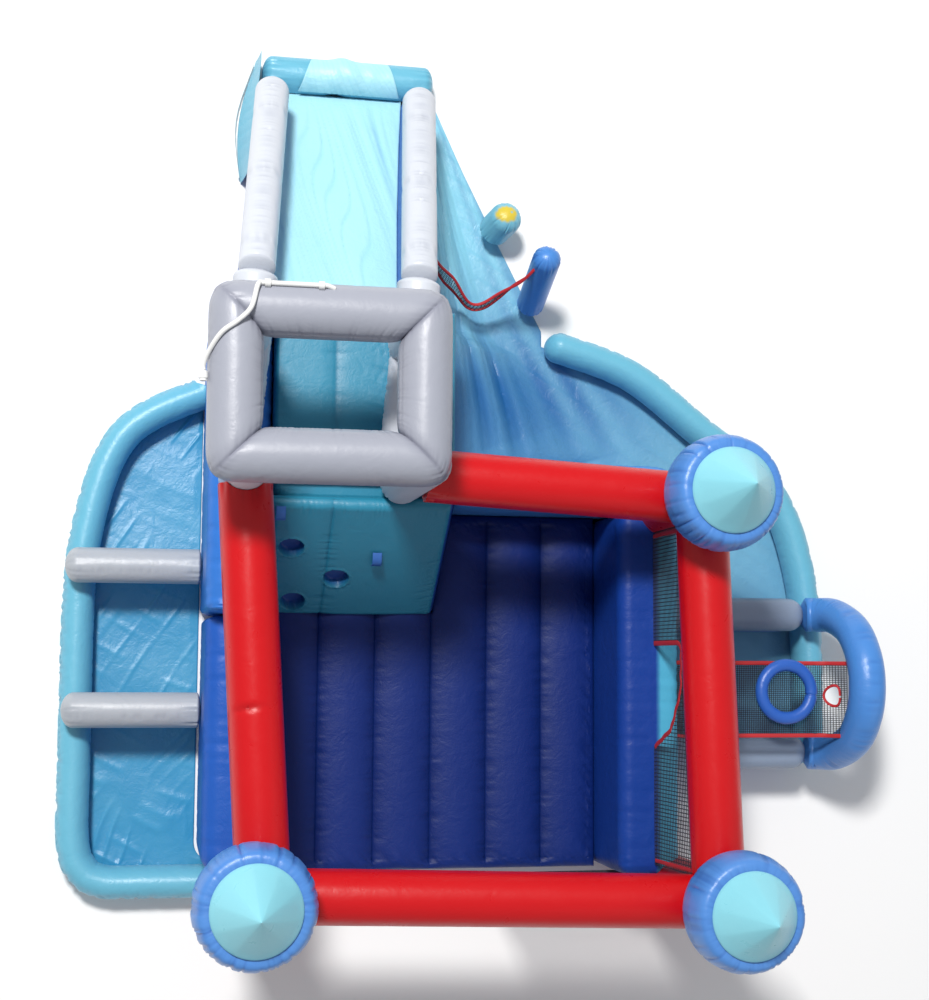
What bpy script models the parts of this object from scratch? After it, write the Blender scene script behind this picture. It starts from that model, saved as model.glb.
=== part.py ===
"""Inflatable water slide: a bounce castle with a climbing tower, a slide and two splash pools.

Metres, +Z up. The origin is the centre of the bounce floor's underside, on the ground.
+X runs to the right-hand pool and +Y towards the slide's foot.
"""

import math

import bmesh
import bpy
from mathutils import Matrix, Vector

# Clearances and skins
gap = 0.0003
seat = 0.0006
overrun = 0.05
skin = 0.018
tube_sides = 16

# Bounce floor
floor_width = 1.99
floor_length = 2.065
floor_height = 0.30
channel_count = 6
channel_depth = 0.035
floor_round = 0.09

# Castle walls
left_wall_thickness = 0.33
right_wall_thickness = 0.36
back_wall_thickness = 0.27
wall_height = 0.80
wall_round = 0.12
left_wall_front_clearance = 0.0425

# Corner columns and roof beams
column_radius = 0.15
column_left_offset = 0.10
column_right_offset = 0.295
corner_shift_shares = ((0, 0.22), (0.43, -0.32), (-0.13, 0.05))
left_beam_inset = 0.065
beam_radius = 0.14
beam_height = 1.40
cap_radius = 0.305
cap_height = 0.36
cap_collar_radius = 0.225
cone_height = 0.32
cap_vent_radius = 0.12

# Climbing tower and deck
tower_width = 1.00
deck_height = 1.00
deck_length = 1.095
pad_thickness = 0.10
climb_run = 0.585
climb_inset = 0.035
tower_side_thickness = 0.34
tower_round = 0.04
hold_radius = 0.07
hold_depth = 0.06
strap_width = 0.055
strap_length = 0.11
strap_bow = 0.033
strap_thickness = 0.006

# Canopy frame over the deck
frame_radius = 0.135
frame_width = 0.91
frame_length = 0.70
frame_rise = 1.00
frame_left_inset = 0.085
post_radius = 0.12

# Slide
rail_radius = 0.10
deck_rail_radius = 0.12
deck_rail_rise = 0.22
rail_foot_height = 0.36
slide_gauge = 0.87
slide_offset = 0.195
slide_wall_thickness = 0.14
slide_run = 1.50
slide_drift_share = 0.093
core_foot_height = 0.09
bed_thickness = 0.012
bed_fold = 0.022
bed_slant = 1.3
bed_rows = 15
bumper_radius = 0.11
bumper_overhang = 0.09
bumper_shift = 0.025
flap_width = 0.62
flap_fold = 0.03
apron_length = 0.77
apron_reach = 0.085
apron_height = 0.32

# Pools
rim_radius = 0.095
rim_height = 0.24
left_pool_reach = 0.69
left_pool_rear = 1.765
left_pool_front = -1.09
floor_skin = 0.008
bar_radius = 0.10
left_bar_rear_y = 0.6925
left_bar_front_y = -0.1155
right_pool_reach = 1.05
right_pool_rear = 2.12
right_pool_front = -0.45
sheet_rise = 0.46
sheet_fold = 0.024
sheet_clearance = 0.01
sheet_flat_share = 0.62
right_bar_rear_y = 0.4615
right_bar_front_y = -0.3655
right_bar_height = 0.44
goal_bar_radius = 0.10
goal_bar_length = 0.93
arch_radius = 0.105
arch_reach = 0.16
arch_height = 0.90

# Nets and ring
net_thickness = 0.006
net_strand = 0.016
goal_net_width = 0.42
goal_net_shift = 0.09
goal_net_height = 0.66
goal_net_end_height = 0.80
goal_net_wall_height = 0.70
ring_radius = 0.155
ring_tube_radius = 0.033
ring_x_share = 0.69
right_net_inset = 0.095
right_net_opening_middle = 0.02
right_net_opening_width = 0.62
front_net_width = 0.90
front_net_offset = 0.0175
volley_net_width = 0.15
volley_net_start_height = 0.70
volley_net_end_share = 0.85
volley_net_sag_depth = 0.46
volley_net_sway_reach = 0.25
volley_post_radius = 0.085
volley_post_height = 0.70
stub_post_radius = 0.10
stub_post_height = 0.35

# Water hose and blower inlet
hose_radius = 0.0125
coupling_radius = 0.022
coupling_length = 0.05
clip_width = 0.03
clip_thickness = 0.006
hose_angle = 45
hose_start_share = 0.55
hose_end_share = 0.5
clip_shares = (0.15, 0.43)
inlet_radius = 0.08
inlet_length = 0.07
inlet_share = 0.16
inlet_height_share = 0.31

# Lines that several pieces share
floor_left = -floor_width / 2
floor_right = floor_width / 2
floor_front = -floor_length / 2
floor_back = floor_length / 2
left_wall_outer = floor_left - gap - left_wall_thickness
right_wall_inner = floor_right + gap
right_wall_outer = right_wall_inner + right_wall_thickness
right_wall_middle = right_wall_inner + right_wall_thickness / 2
back_wall_inner = floor_back + gap
back_wall_outer = back_wall_inner + back_wall_thickness
column_left_x = floor_left - column_left_offset
column_right_x = floor_right + column_right_offset
column_top = beam_height + beam_radius
frame_height = deck_height + frame_rise
deck_rail_height = deck_height + deck_rail_rise
tower_left = floor_left + gap
tower_right = tower_left + tower_width
tower_side_outer = floor_left - tower_side_thickness
deck_front = floor_back - climb_inset
climb_foot = deck_front - climb_run
deck_back = deck_front + deck_length
climb_angle = math.atan2(deck_height - floor_height, climb_run)
pad_shift = pad_thickness / math.sin(climb_angle)
frame_left = tower_side_outer + frame_left_inset
frame_right = frame_left + frame_width
frame_front = deck_front + frame_radius - gap
frame_back = frame_front + frame_length
slide_middle = tower_left + tower_width / 2 - slide_offset
slide_left = slide_middle - slide_gauge / 2
slide_right = slide_middle + slide_gauge / 2
slide_top = deck_back + gap
slide_foot = slide_top + slide_run
bumper_y = slide_foot + bumper_radius + gap
post_left_x = frame_left + frame_left_inset
post_right_x = frame_right + frame_left_inset / 2
right_rim_x = right_wall_outer + right_pool_reach

colours = {
    "floor_blue": (0.03, 0.11, 0.48),
    "wall_blue": (0.10, 0.28, 0.72),
    "cap_blue": (0.13, 0.38, 0.80),
    "red": (0.72, 0.01, 0.02),
    "aqua": (0.14, 0.58, 0.72),
    "pale_aqua": (0.42, 0.80, 0.86),
    "sheet_blue": (0.06, 0.34, 0.62),
    "grey_white": (0.68, 0.68, 0.72),
    "net_black": (0.02, 0.02, 0.03),
    "hose_white": (0.82, 0.82, 0.80),
}

parts = None
cutters = None


def start_scene():
    """Clears the scene and makes one collection for the pieces and one for the cutters."""
    global parts, cutters
    for old in list(bpy.data.objects):
        bpy.data.objects.remove(old, do_unlink=True)
    parts = bpy.data.collections.new("inflatable_water_slide")
    cutters = bpy.data.collections.new("cutters")
    for collection in (parts, cutters):
        bpy.context.scene.collection.children.link(collection)


def fabric(name, colour):
    """The piece's own coated fabric, in one of the named colours."""
    made = bpy.data.materials.new(name + "_fabric")
    made.use_nodes = True
    shader = made.node_tree.nodes["Principled BSDF"]
    shader.inputs["Base Color"].default_value = (*colours[colour], 1)
    shader.inputs["Roughness"].default_value = 0.4
    shader.inputs["Metallic"].default_value = 0
    return made


def place(name, bm, colour, smooth=True):
    """Makes a piece from a bmesh whose points are world coordinates."""
    bmesh.ops.recalc_face_normals(bm, faces=bm.faces)
    mesh = bpy.data.meshes.new(name)
    bm.to_mesh(mesh)
    bm.free()
    mesh.materials.append(fabric(name, colour))
    if smooth:
        mesh.shade_smooth()
        mesh.set_sharp_from_angle(angle=math.radians(40))
    piece = bpy.data.objects.new(name, mesh)
    parts.objects.link(piece)
    return piece


def as_cutter(piece):
    """Turns a piece into a hidden cutter."""
    parts.objects.unlink(piece)
    cutters.objects.link(piece)
    piece.hide_render = True
    piece.display_type = "WIRE"
    return piece


def cut(piece, cutter):
    """Takes the cutter's shape out of the piece."""
    modifier = piece.modifiers.new("cut", "BOOLEAN")
    modifier.operation = "DIFFERENCE"
    modifier.object = cutter


def rounded(piece, width, segments=3):
    """Rounds every sharp edge, so the piece looks blown up."""
    modifier = piece.modifiers.new("round", "BEVEL")
    modifier.width = width
    modifier.segments = segments
    modifier.limit_method = "ANGLE"
    modifier.angle_limit = math.radians(25)


def block(name, low, high, colour):
    """A box between two corners."""
    bm = bmesh.new()
    bmesh.ops.create_cube(bm, size=1)
    size = Vector(high) - Vector(low)
    middle = (Vector(high) + Vector(low)) / 2
    bmesh.ops.scale(bm, vec=size, verts=bm.verts)
    bmesh.ops.translate(bm, vec=middle, verts=bm.verts)
    return place(name, bm, colour)


def cylinder(name, start, end, radius, colour, sides=tube_sides):
    """A round bar with flat ends between two points."""
    start, end = Vector(start), Vector(end)
    axis = end - start
    bm = bmesh.new()
    bmesh.ops.create_cone(
        bm,
        cap_ends=True,
        segments=sides,
        radius1=radius,
        radius2=radius,
        depth=axis.length,
    )
    turn = axis.to_track_quat("Z", "Y").to_matrix().to_4x4()
    bmesh.ops.transform(bm, matrix=Matrix.Translation((start + end) / 2) @ turn, verts=bm.verts)
    return place(name, bm, colour)


def prism(name, outline, x_low, x_high, colour):
    """A flat outline in Y and Z, carried along X."""
    curve = bpy.data.curves.new(name, "CURVE")
    curve.dimensions = "2D"
    curve.fill_mode = "BOTH"
    curve.extrude = (x_high - x_low) / 2
    spline = curve.splines.new("POLY")
    spline.points.add(len(outline) - 1)
    for point, (y, z) in zip(spline.points, outline):
        point.co = (y, z, 0, 1)
    spline.use_cyclic_u = True
    guide = bpy.data.objects.new(name + "_outline", curve)
    # Local X, Y and Z become world Y, Z and X.
    turn = Matrix(((0, 0, 1, (x_low + x_high) / 2), (1, 0, 0, 0), (0, 1, 0, 0), (0, 0, 0, 1)))
    return meshed(name, guide, turn, colour)


def plate(name, outline, z_low, z_high, colour):
    """A flat outline in X and Y with a thickness."""
    curve = bpy.data.curves.new(name, "CURVE")
    curve.dimensions = "2D"
    curve.fill_mode = "BOTH"
    curve.extrude = (z_high - z_low) / 2
    spline = curve.splines.new("POLY")
    spline.points.add(len(outline) - 1)
    for point, (x, y) in zip(spline.points, outline):
        point.co = (x, y, 0, 1)
    spline.use_cyclic_u = True
    guide = bpy.data.objects.new(name + "_outline", curve)
    turn = Matrix.Translation((0, 0, (z_low + z_high) / 2))
    return meshed(name, guide, turn, colour)


def meshed(name, guide, turn, colour):
    """The solid that a curve object makes, as a mesh in world coordinates."""
    parts.objects.link(guide)
    bpy.context.view_layer.update()
    evaluated = guide.evaluated_get(bpy.context.evaluated_depsgraph_get())
    mesh = bpy.data.meshes.new_from_object(evaluated)
    bm = bmesh.new()
    bm.from_mesh(mesh)
    bmesh.ops.remove_doubles(bm, verts=bm.verts, dist=gap / 6)
    bmesh.ops.transform(bm, matrix=turn, verts=bm.verts)
    bpy.data.objects.remove(guide, do_unlink=True)
    bpy.data.meshes.remove(mesh)
    return place(name, bm, colour)


def smooth_path(points, steps):
    """Points on a Catmull-Rom curve through the given ones."""
    points = [Vector(point) for point in points]
    ends = [2 * points[0] - points[1], *points, 2 * points[-1] - points[-2]]
    path = []
    for before, a, b, after in zip(ends, ends[1:], ends[2:], ends[3:]):
        for step in range(steps):
            t = step / steps
            path.append(
                0.5
                * (
                    2 * a
                    + (b - before) * t
                    + (2 * before - 5 * a + 4 * b - after) * t**2
                    + (3 * a - before - 3 * b + after) * t**3
                )
            )
    return path + [points[-1]]


def domed(tip, inward, radius):
    """Places and radius shares that round off a tube's end."""
    along = (inward - tip).normalized()
    steps = [math.radians(angle) for angle in (20, 48, 74, 90)]
    return [(tip + along * radius * (1 - math.cos(a)), math.sin(a)) for a in steps]


def tube(name, path, radius, colour, ends=(False, False), flatten=1, sides=tube_sides):
    """A round tube along a path. An end marked True is domed, and flatten scales its height."""
    path = [Vector(point) for point in path]
    first, last = path[0], path[-1]
    body = path[1:-1]
    if ends[0]:
        body = [point for point in body if (point - first).length > radius * 1.2]
    if ends[1]:
        body = [point for point in body if (point - last).length > radius * 1.2]
    start = domed(first, (body + [last])[0], radius) if ends[0] else [(first, 1)]
    end = domed(last, ([first] + body)[-1], radius)[::-1] if ends[1] else [(last, 1)]
    stations = [*start, *((point, 1) for point in body), *end]
    curve = bpy.data.curves.new(name, "CURVE")
    curve.dimensions = "3D"
    curve.bevel_depth = radius
    curve.bevel_resolution = (sides - 4) // 2
    curve.use_fill_caps = True
    curve.twist_mode = "MINIMUM"
    spline = curve.splines.new("POLY")
    spline.points.add(len(stations) - 1)
    for point, (place_at, share) in zip(spline.points, stations):
        point.co = (*place_at, 1)
        point.radius = share
    guide = bpy.data.objects.new(name + "_path", curve)
    middle = path[0].z
    squash = Matrix.Translation((0, 0, middle)) @ Matrix.Diagonal((1, 1, flatten, 1))
    return meshed(name, guide, squash @ Matrix.Translation((0, 0, -middle)), colour)


def turned(name, profile, origin, colour, steps=24):
    """A profile of (radius, height) pairs, top to bottom, turned round a vertical axis."""
    bm = bmesh.new()
    points = [bm.verts.new((radius, 0, height)) for radius, height in profile]
    for upper, lower in zip(points, points[1:]):
        bm.edges.new((upper, lower))
    mesh = bpy.data.meshes.new(name)
    bm.to_mesh(mesh)
    bm.free()
    mesh.materials.append(fabric(name, colour))
    piece = bpy.data.objects.new(name, mesh)
    piece.location = origin
    parts.objects.link(piece)
    screw = piece.modifiers.new("turn", "SCREW")
    screw.steps = steps
    screw.render_steps = steps
    screw.use_merge_vertices = True
    screw.merge_threshold = gap / 6
    screw.use_smooth_shade = True
    return piece


def surface(name, point, columns, rows, thickness, colour, keep=None, strand=0):
    """A sheet on a grid: point(u, v) gives each place, keep picks cells and strand makes a net."""
    bm = bmesh.new()
    bmesh.ops.create_grid(bm, x_segments=columns, y_segments=rows, size=0.5)
    if keep:
        spare = [
            face
            for face in bm.faces
            if not keep(face.calc_center_median().x + 0.5, face.calc_center_median().y + 0.5)
        ]
        bmesh.ops.delete(bm, geom=spare, context="FACES")
    for vert in bm.verts:
        vert.co = Vector(point(vert.co.x + 0.5, vert.co.y + 0.5))
    bm.normal_update()
    if strand:
        cells = list(bm.faces)
        bmesh.ops.inset_individual(bm, faces=cells, thickness=strand / 2)
        bmesh.ops.delete(bm, geom=cells, context="FACES_ONLY")
    mesh = bpy.data.meshes.new(name)
    bm.to_mesh(mesh)
    bm.free()
    mesh.materials.append(fabric(name, colour))
    mesh.shade_smooth()
    piece = bpy.data.objects.new(name, mesh)
    parts.objects.link(piece)
    wall = piece.modifiers.new("skin", "SOLIDIFY")
    wall.thickness = thickness
    wall.offset = 0 if strand else -1
    return piece


def drift_at(y):
    """How far the slide's line has moved to the right at this place."""
    return slide_drift_share * (y - slide_top)


def drift(piece):
    """Leans a piece of the slide a little to the right on its way down."""
    for vertex in piece.data.vertices:
        vertex.co.x += drift_at(vertex.co.y)
    return piece


def rail_height(y):
    """Height of the slide rails' centre line."""
    share = min(1, max(0, (y - slide_top - deck_rail_radius) / (slide_run - deck_rail_radius)))
    return deck_rail_height + (rail_foot_height - deck_rail_height) * share


def bed_height(y):
    """Height of the sliding surface's carrier, easing out towards the foot."""
    share = min(1, max(0, (y - slide_top) / slide_run))
    top = deck_height - bed_thickness - bed_fold
    ease = 1 - share + 0.16 * share * (share - 1) * 2
    return core_foot_height + (top - core_foot_height) * max(0, ease)


def hollow(piece, core, vent):
    """Opens a chamber's air space, which a small vent joins to the next chamber."""
    cut(piece, as_cutter(core))
    cut(piece, as_cutter(vent))


def air_block(piece, low, high, round_width, vent_start, vent_end):
    """The air space of a box-shaped chamber."""
    inset = Vector((skin, skin, skin))
    core = block(piece.name + "_air", Vector(low) + inset, Vector(high) - inset, "aqua")
    rounded(core, round_width - skin, 2)
    vent = cylinder(piece.name + "_vent", vent_start, vent_end, skin * 3, "aqua", 8)
    hollow(piece, core, vent)


def column_cutters():
    """Cylinders that seat walls, beams and rims against the corner columns."""
    made = []
    for x, y in column_places():
        bottom = (x, y, -overrun)
        top = (x, y, column_top + overrun)
        made.append(as_cutter(cylinder("column_cut", bottom, top, column_radius + seat, "red")))
    return made


def column_places():
    """Front left, front right and back right, each a little off its corner as the air sets it."""
    corners = (
        (column_left_x, floor_front),
        (column_right_x, floor_front),
        (column_right_x, floor_back),
    )
    return tuple(
        (x + column_radius * aside, y + column_radius * along)
        for (x, y), (aside, along) in zip(corners, corner_shift_shares)
    )


def make_bounce_floor(columns):
    """A mattress whose sewn channels run along Y, with a rounded edge."""
    pitch = floor_width / channel_count
    edge = [floor_round * share for share in (0, 0.13, 0.5, 1)]
    crown_shares = (0, 0.1, 0.3, 0.5, 0.7, 0.9)
    inside = [pitch * (n + share) for n in range(channel_count) for share in crown_shares]
    inside = [x for x in inside if floor_round * 1.2 < x < floor_width - floor_round * 1.2]
    across = edge + inside + [floor_width - x for x in edge[::-1]]
    middle = [floor_length * share for share in (0.2, 0.5, 0.8)]
    along = edge + middle + [floor_length - y for y in edge[::-1]]
    bm = bmesh.new()
    bmesh.ops.create_grid(bm, x_segments=len(across) - 1, y_segments=len(along) - 1, size=0.5)
    for vert in bm.verts:
        x = across[round((vert.co.x + 0.5) * (len(across) - 1))]
        y = along[round((vert.co.y + 0.5) * (len(along) - 1))]
        inset = min(x, floor_width - x, y, floor_length - y, floor_round)
        share = x / pitch % 1
        sag = channel_depth * (1 - math.sin(math.pi * share) ** 0.6) if inset == floor_round else 0
        drop = floor_round - math.sqrt(floor_round**2 - (floor_round - inset) ** 2)
        vert.co = (x + floor_left, y + floor_front, floor_height - drop - sag)
    sides = [edge for edge in bm.edges if edge.is_boundary]
    lower = bmesh.ops.extrude_edge_only(bm, edges=sides)["geom"]
    for vert in (item for item in lower if isinstance(item, bmesh.types.BMVert)):
        vert.co.z = 0
    rim = [item for item in lower if isinstance(item, bmesh.types.BMEdge) and item.is_boundary]
    bmesh.ops.contextual_create(bm, geom=rim)
    floor = place("bounce_floor", bm, "floor_blue")
    low = Vector((floor_left, floor_front, 0))
    high = Vector((floor_right, floor_back, floor_height - channel_depth))
    vent_y = floor_back - floor_round
    middle_z = floor_height / 2 - skin
    air_block(floor, low, high, floor_round, (0, vent_y, middle_z), (0, back_wall_outer, middle_z))
    cut(floor, columns[0])


def make_walls(columns):
    """The low inflated walls round the bounce floor, and the tower's outer side."""
    left_front = floor_front + left_wall_front_clearance
    middle_z = wall_height / 2
    sizes = {
        "left_wall": (
            (left_wall_outer, left_front, 0),
            (floor_left - gap, climb_foot, wall_height),
            (left_wall_outer + left_wall_thickness / 2, climb_foot - wall_round, middle_z),
            (left_wall_outer + left_wall_thickness / 2, climb_foot + overrun, middle_z),
        ),
        "right_wall": (
            (right_wall_inner, floor_front, 0),
            (right_wall_outer, floor_back, wall_height),
            (right_wall_middle, floor_back - wall_round, middle_z),
            (right_wall_middle, floor_back + overrun, middle_z),
        ),
        "back_wall": (
            (tower_right + gap, back_wall_inner, 0),
            (right_wall_outer, back_wall_outer, wall_height),
            (tower_right + wall_round, back_wall_inner + back_wall_thickness / 2, middle_z),
            (tower_right - overrun, back_wall_inner + back_wall_thickness / 2, middle_z),
        ),
        "tower_left_wall": (
            (tower_side_outer, climb_foot + gap, 0),
            (floor_left - gap, deck_back, deck_height),
            (floor_left - wall_round, (climb_foot + deck_back) / 2, middle_z),
            (floor_left + overrun, (climb_foot + deck_back) / 2, middle_z),
        ),
    }
    for name, (low, high, vent_start, vent_end) in sizes.items():
        wall = block(name, low, high, "wall_blue")
        rounded(wall, wall_round)
        air_block(wall, low, high, wall_round, vent_start, vent_end)
        for cutter in columns:
            cut(wall, cutter)


def make_columns():
    """Corner columns, their puffy caps and cones."""
    names = ("front_left", "front_right", "back_right")
    for name, (x, y) in zip(names, column_places()):
        column = cylinder(name + "_column", (x, y, 0), (x, y, column_top), column_radius, "red")
        air = cylinder(
            name + "_column_air",
            (x, y, skin),
            (x, y, column_top + overrun),
            column_radius - skin,
            "red",
            8,
        )
        cut(column, as_cutter(air))
        outer_shares = ((0.74, 1.0), (0.93, 0.93), (1.0, 0.62), (0.95, 0.3), (0.75, 0.08), (0.6, 0))
        inner_shares = ((0.68, 0.1), (0.87, 0.32), (0.91, 0.62), (0.84, 0.88), (0.66, 0.94))
        outer = [(cap_radius * r, cap_height * z) for r, z in outer_shares]
        inner = [(cap_radius * r, cap_height * z) for r, z in inner_shares]
        mouth = [(cap_vent_radius, 0), (cap_vent_radius, skin)]
        crown = cap_height * outer_shares[0][1]
        profile = [(0, crown), *outer, *mouth, *inner, (0, crown - skin)]
        turned(name + "_cap", profile, (x, y, column_top + gap), "cap_blue", 16)
        cone_shares = ((0, 1), (0.32, 0.72), (0.66, 0.38), (0.97, 0.04), (0.95, 0), (0.8, 0))
        cone = [(cap_collar_radius * r, cone_height * z) for r, z in cone_shares]
        base = column_top + gap + crown + gap
        hollow_top = (0, cone_height - 3 * skin)
        turned(name + "_cone", [*cone, hollow_top], (x, y, base), "pale_aqua", 16)


def make_beams(columns, posts):
    """Roof beams between the columns and the canopy's front posts. Returns their cutters."""
    left_front, right_front, right_back = column_places()
    left_end = (left_front[0] + left_beam_inset, left_front[1])
    runs = {
        "left_beam": ((post_left_x, frame_front), left_end),
        "front_beam": (left_front, right_front),
        "right_beam": (right_front, right_back),
        "back_beam": ((post_right_x, frame_front), right_back),
    }
    crossings = {"left_beam": "front_beam", "right_beam": "front_beam", "back_beam": "right_beam"}
    beam_cutters = {}
    crossed = []
    for name, (start, end) in runs.items():
        start = Vector((*start, beam_height))
        end = Vector((*end, beam_height))
        inward = (end - start).normalized()
        beam = cylinder(name, start, end, beam_radius, "red")
        air = cylinder(
            name + "_air",
            start + inward * (column_radius + 2 * skin),
            end + inward * overrun,
            beam_radius - skin,
            "red",
            8,
        )
        cut(beam, as_cutter(air))
        for cutter in columns + posts:
            cut(beam, cutter)
        around = cylinder(name + "_cut", start, end, beam_radius + seat, "red")
        beam_cutters[name] = as_cutter(around)
        if name in crossings:
            crossed.append((beam, crossings[name]))
    for beam, other in crossed:
        cut(beam, beam_cutters[other])
    return beam_cutters


def slope_point(share, out=0):
    """A place on the climbing wall: share runs from foot to top, out is off its face."""
    y = climb_foot + climb_run * share - out * math.sin(climb_angle)
    z = floor_height + gap + (deck_height - floor_height - gap) * share + out * math.cos(climb_angle)
    return y, z


def make_tower():
    """The tower's block, its deck pad and the climbing wall with three hand-holds."""
    foot_z = floor_height + gap
    pad_foot = climb_foot + pad_shift
    pad_top = deck_front + pad_shift
    lean = pad_thickness / math.tan(climb_angle)
    under = deck_height - pad_thickness
    pad = prism(
        "climbing_wall",
        ((climb_foot, foot_z), (deck_front, deck_height), (pad_top, deck_height), (pad_foot, foot_z)),
        tower_left,
        tower_right,
        "aqua",
    )
    rounded(pad, tower_round, 2)
    hold_shares = ((0.13, 0.62), (0.40, 0.36), (0.17, 0.14))
    for across, up in hold_shares:
        x = tower_left + tower_width * across
        mouth = slope_point(up, hold_radius)
        bottom = slope_point(up, -hold_depth)
        hold = cylinder("hold_cut", (x, *mouth), (x, *bottom), hold_radius, "aqua", 14)
        cut(pad, as_cutter(hold))
    deck = prism(
        "deck_pad",
        (
            (pad_top + seat - lean, under),
            (pad_top + seat, deck_height),
            (deck_back, deck_height),
            (deck_back, under),
        ),
        tower_left,
        tower_right,
        "aqua",
    )
    rounded(deck, tower_round / 2, 2)
    body_top = under - gap
    body = prism(
        "tower_body",
        (
            (pad_foot + seat, foot_z),
            (pad_top + seat - lean - seat, body_top),
            (deck_back, body_top),
            (deck_back, 0),
            (back_wall_inner, 0),
            (back_wall_inner, foot_z),
        ),
        tower_left,
        tower_right,
        "wall_blue",
    )
    air = prism(
        "tower_body_air",
        (
            (pad_foot + 4 * skin, foot_z + skin),
            (pad_top - lean - skin / 2, body_top - skin),
            (deck_back - skin, body_top - skin),
            (deck_back - skin, skin),
            (back_wall_inner + skin, skin),
            (back_wall_inner + skin, foot_z + skin),
        ),
        tower_left + skin,
        tower_right - skin,
        "aqua",
    )
    middle_y = (back_wall_inner + deck_back) / 2
    vent_start = (tower_left + wall_round, middle_y, wall_height / 2)
    vent_end = (tower_left - overrun, middle_y, wall_height / 2)
    vent = cylinder("tower_body_vent", vent_start, vent_end, skin * 3, "aqua", 8)
    hollow(body, air, vent)
    strap_shares = ((0.05, 0.93), (0.61, 0.55))
    for name, (across, up) in zip(("left_grab_strap", "right_grab_strap"), strap_shares):
        make_strap(name, tower_left + tower_width * across, up)


def make_strap(name, x, up):
    """A webbing loop that bows out from the climbing wall."""
    steps = range(9)
    face = climb_run / math.cos(climb_angle)
    bows = []
    for offset in (strap_thickness, 0):
        bow = []
        for step in steps:
            share = step / (len(steps) - 1)
            out = gap + offset + strap_bow * math.sin(math.pi * share)
            bow.append(slope_point(up + (share - 0.5) * strap_length / face, out))
        bows.append(bow)
    outline = bows[0] + bows[1][::-1]
    prism(name, outline, x - strap_width / 2, x + strap_width / 2, "wall_blue")


def frame_ring(name, radius, colour):
    """A rectangular ring of round tube with mitred corners."""
    bpy.ops.mesh.primitive_torus_add(
        major_segments=4,
        minor_segments=tube_sides,
        major_radius=1,
        minor_radius=0.5,
    )
    ring = bpy.context.object
    mesh = ring.data
    half_x = frame_width / 2
    half_y = frame_length / 2
    middle_x = (frame_left + frame_right) / 2
    middle_y = (frame_front + frame_back) / 2
    corners = math.radians(45)
    for vertex in mesh.vertices:
        angle = math.atan2(vertex.co.y, vertex.co.x) + corners
        out = (math.hypot(vertex.co.x, vertex.co.y) - 1) * radius * 2
        sign_x = math.copysign(1, math.cos(angle))
        sign_y = math.copysign(1, math.sin(angle))
        vertex.co = (
            middle_x + sign_x * (half_x + out),
            middle_y + sign_y * (half_y + out),
            frame_height + vertex.co.z * radius * 2,
        )
    bm = bmesh.new()
    bm.from_mesh(mesh)
    bpy.data.objects.remove(ring, do_unlink=True)
    return place(name, bm, colour)


def make_canopy(deck_rail_cutters):
    """The frame over the deck and its four posts. Returns the front posts' cutters."""
    frame = frame_ring("canopy_frame", frame_radius, "grey_white")
    vent_top = (post_right_x, frame_front, frame_height)
    vent_bottom = (post_right_x, frame_front, frame_height - frame_radius - overrun)
    vent = cylinder("frame_vent", vent_top, vent_bottom, frame_radius / 2, "aqua", 8)
    hollow(frame, frame_ring("frame_air", frame_radius - skin, "grey_white"), vent)
    frame_cut = as_cutter(frame_ring("frame_cut", frame_radius + seat, "grey_white"))
    cutters_made = []
    places = {
        "front_left_post": (post_left_x, frame_front),
        "front_right_post": (post_right_x, frame_front),
        "rear_left_post": (post_left_x, frame_back),
        "rear_right_post": (post_right_x, frame_back),
    }
    for name, (x, y) in places.items():
        rear = name.startswith("rear")
        foot = deck_rail_height + deck_rail_radius / 3 if rear else deck_height + gap
        top = (x, y, frame_height - frame_radius / 3)
        post = cylinder(name, (x, y, foot), top, post_radius, "grey_white")
        air_low = foot - overrun
        air_high = frame_height - frame_radius - 2 * skin
        air = cylinder(name + "_air", (x, y, air_low), (x, y, air_high), post_radius - skin, "aqua", 8)
        cut(post, as_cutter(air))
        cut(post, frame_cut)
        if rear:
            for cutter in deck_rail_cutters:
                cut(post, cutter)
            continue
        bottom = (x, y, deck_height)
        cutter = cylinder("post_cut", bottom, top, post_radius + seat, "grey_white")
        cutters_made.append(as_cutter(cutter))
    return cutters_made


def rail_paths():
    """The centre lines of the deck rails and of the slide's rails, before their drift."""
    deck_start = frame_front + post_radius * 0.6
    deck_end = slide_top + deck_rail_radius
    level = deck_end + gap + rail_radius
    paths = {}
    for side, x in (("left", slide_left), ("right", slide_right)):
        deck = [(x, deck_start, deck_rail_height), (x, deck_end, deck_rail_height)]
        slope_end = slide_foot - rail_radius / 2
        rail = [(x, deck_end - rail_radius / 2, deck_rail_height)]
        rail.append((x, deck_end + rail_radius / 4, deck_rail_height))
        rail.append((x, level, rail_height(level)))
        for share in (0.25, 0.5, 0.75, 1):
            y = level + (slope_end - level) * share
            rail.append((x, y, rail_height(y)))
        paths[side] = (deck, rail)
    return paths


def make_rail_cutters():
    """Shapes that seat the slide's walls and the rear posts on the rails."""
    made = []
    for side, (deck, rail) in rail_paths().items():
        deck_cut = tube("deck_rail_cut", deck, deck_rail_radius + seat, "grey_white")
        past = Vector(rail[-1]) * 2 - Vector(rail[-2])
        rail_cut = tube("rail_cut", [*rail, past], rail_radius + seat, "grey_white")
        x, end_y, _ = deck[-1]
        low = (x - 2 * deck_rail_radius, frame_front, deck_height)
        high = (x + 2 * deck_rail_radius, end_y + gap, deck_rail_height + 2 * deck_rail_radius)
        end_cut = block("rail_end_cut", low, high, "grey_white")
        made.append([as_cutter(drift(deck_cut)), as_cutter(drift(rail_cut)), as_cutter(end_cut)])
    return made


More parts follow.
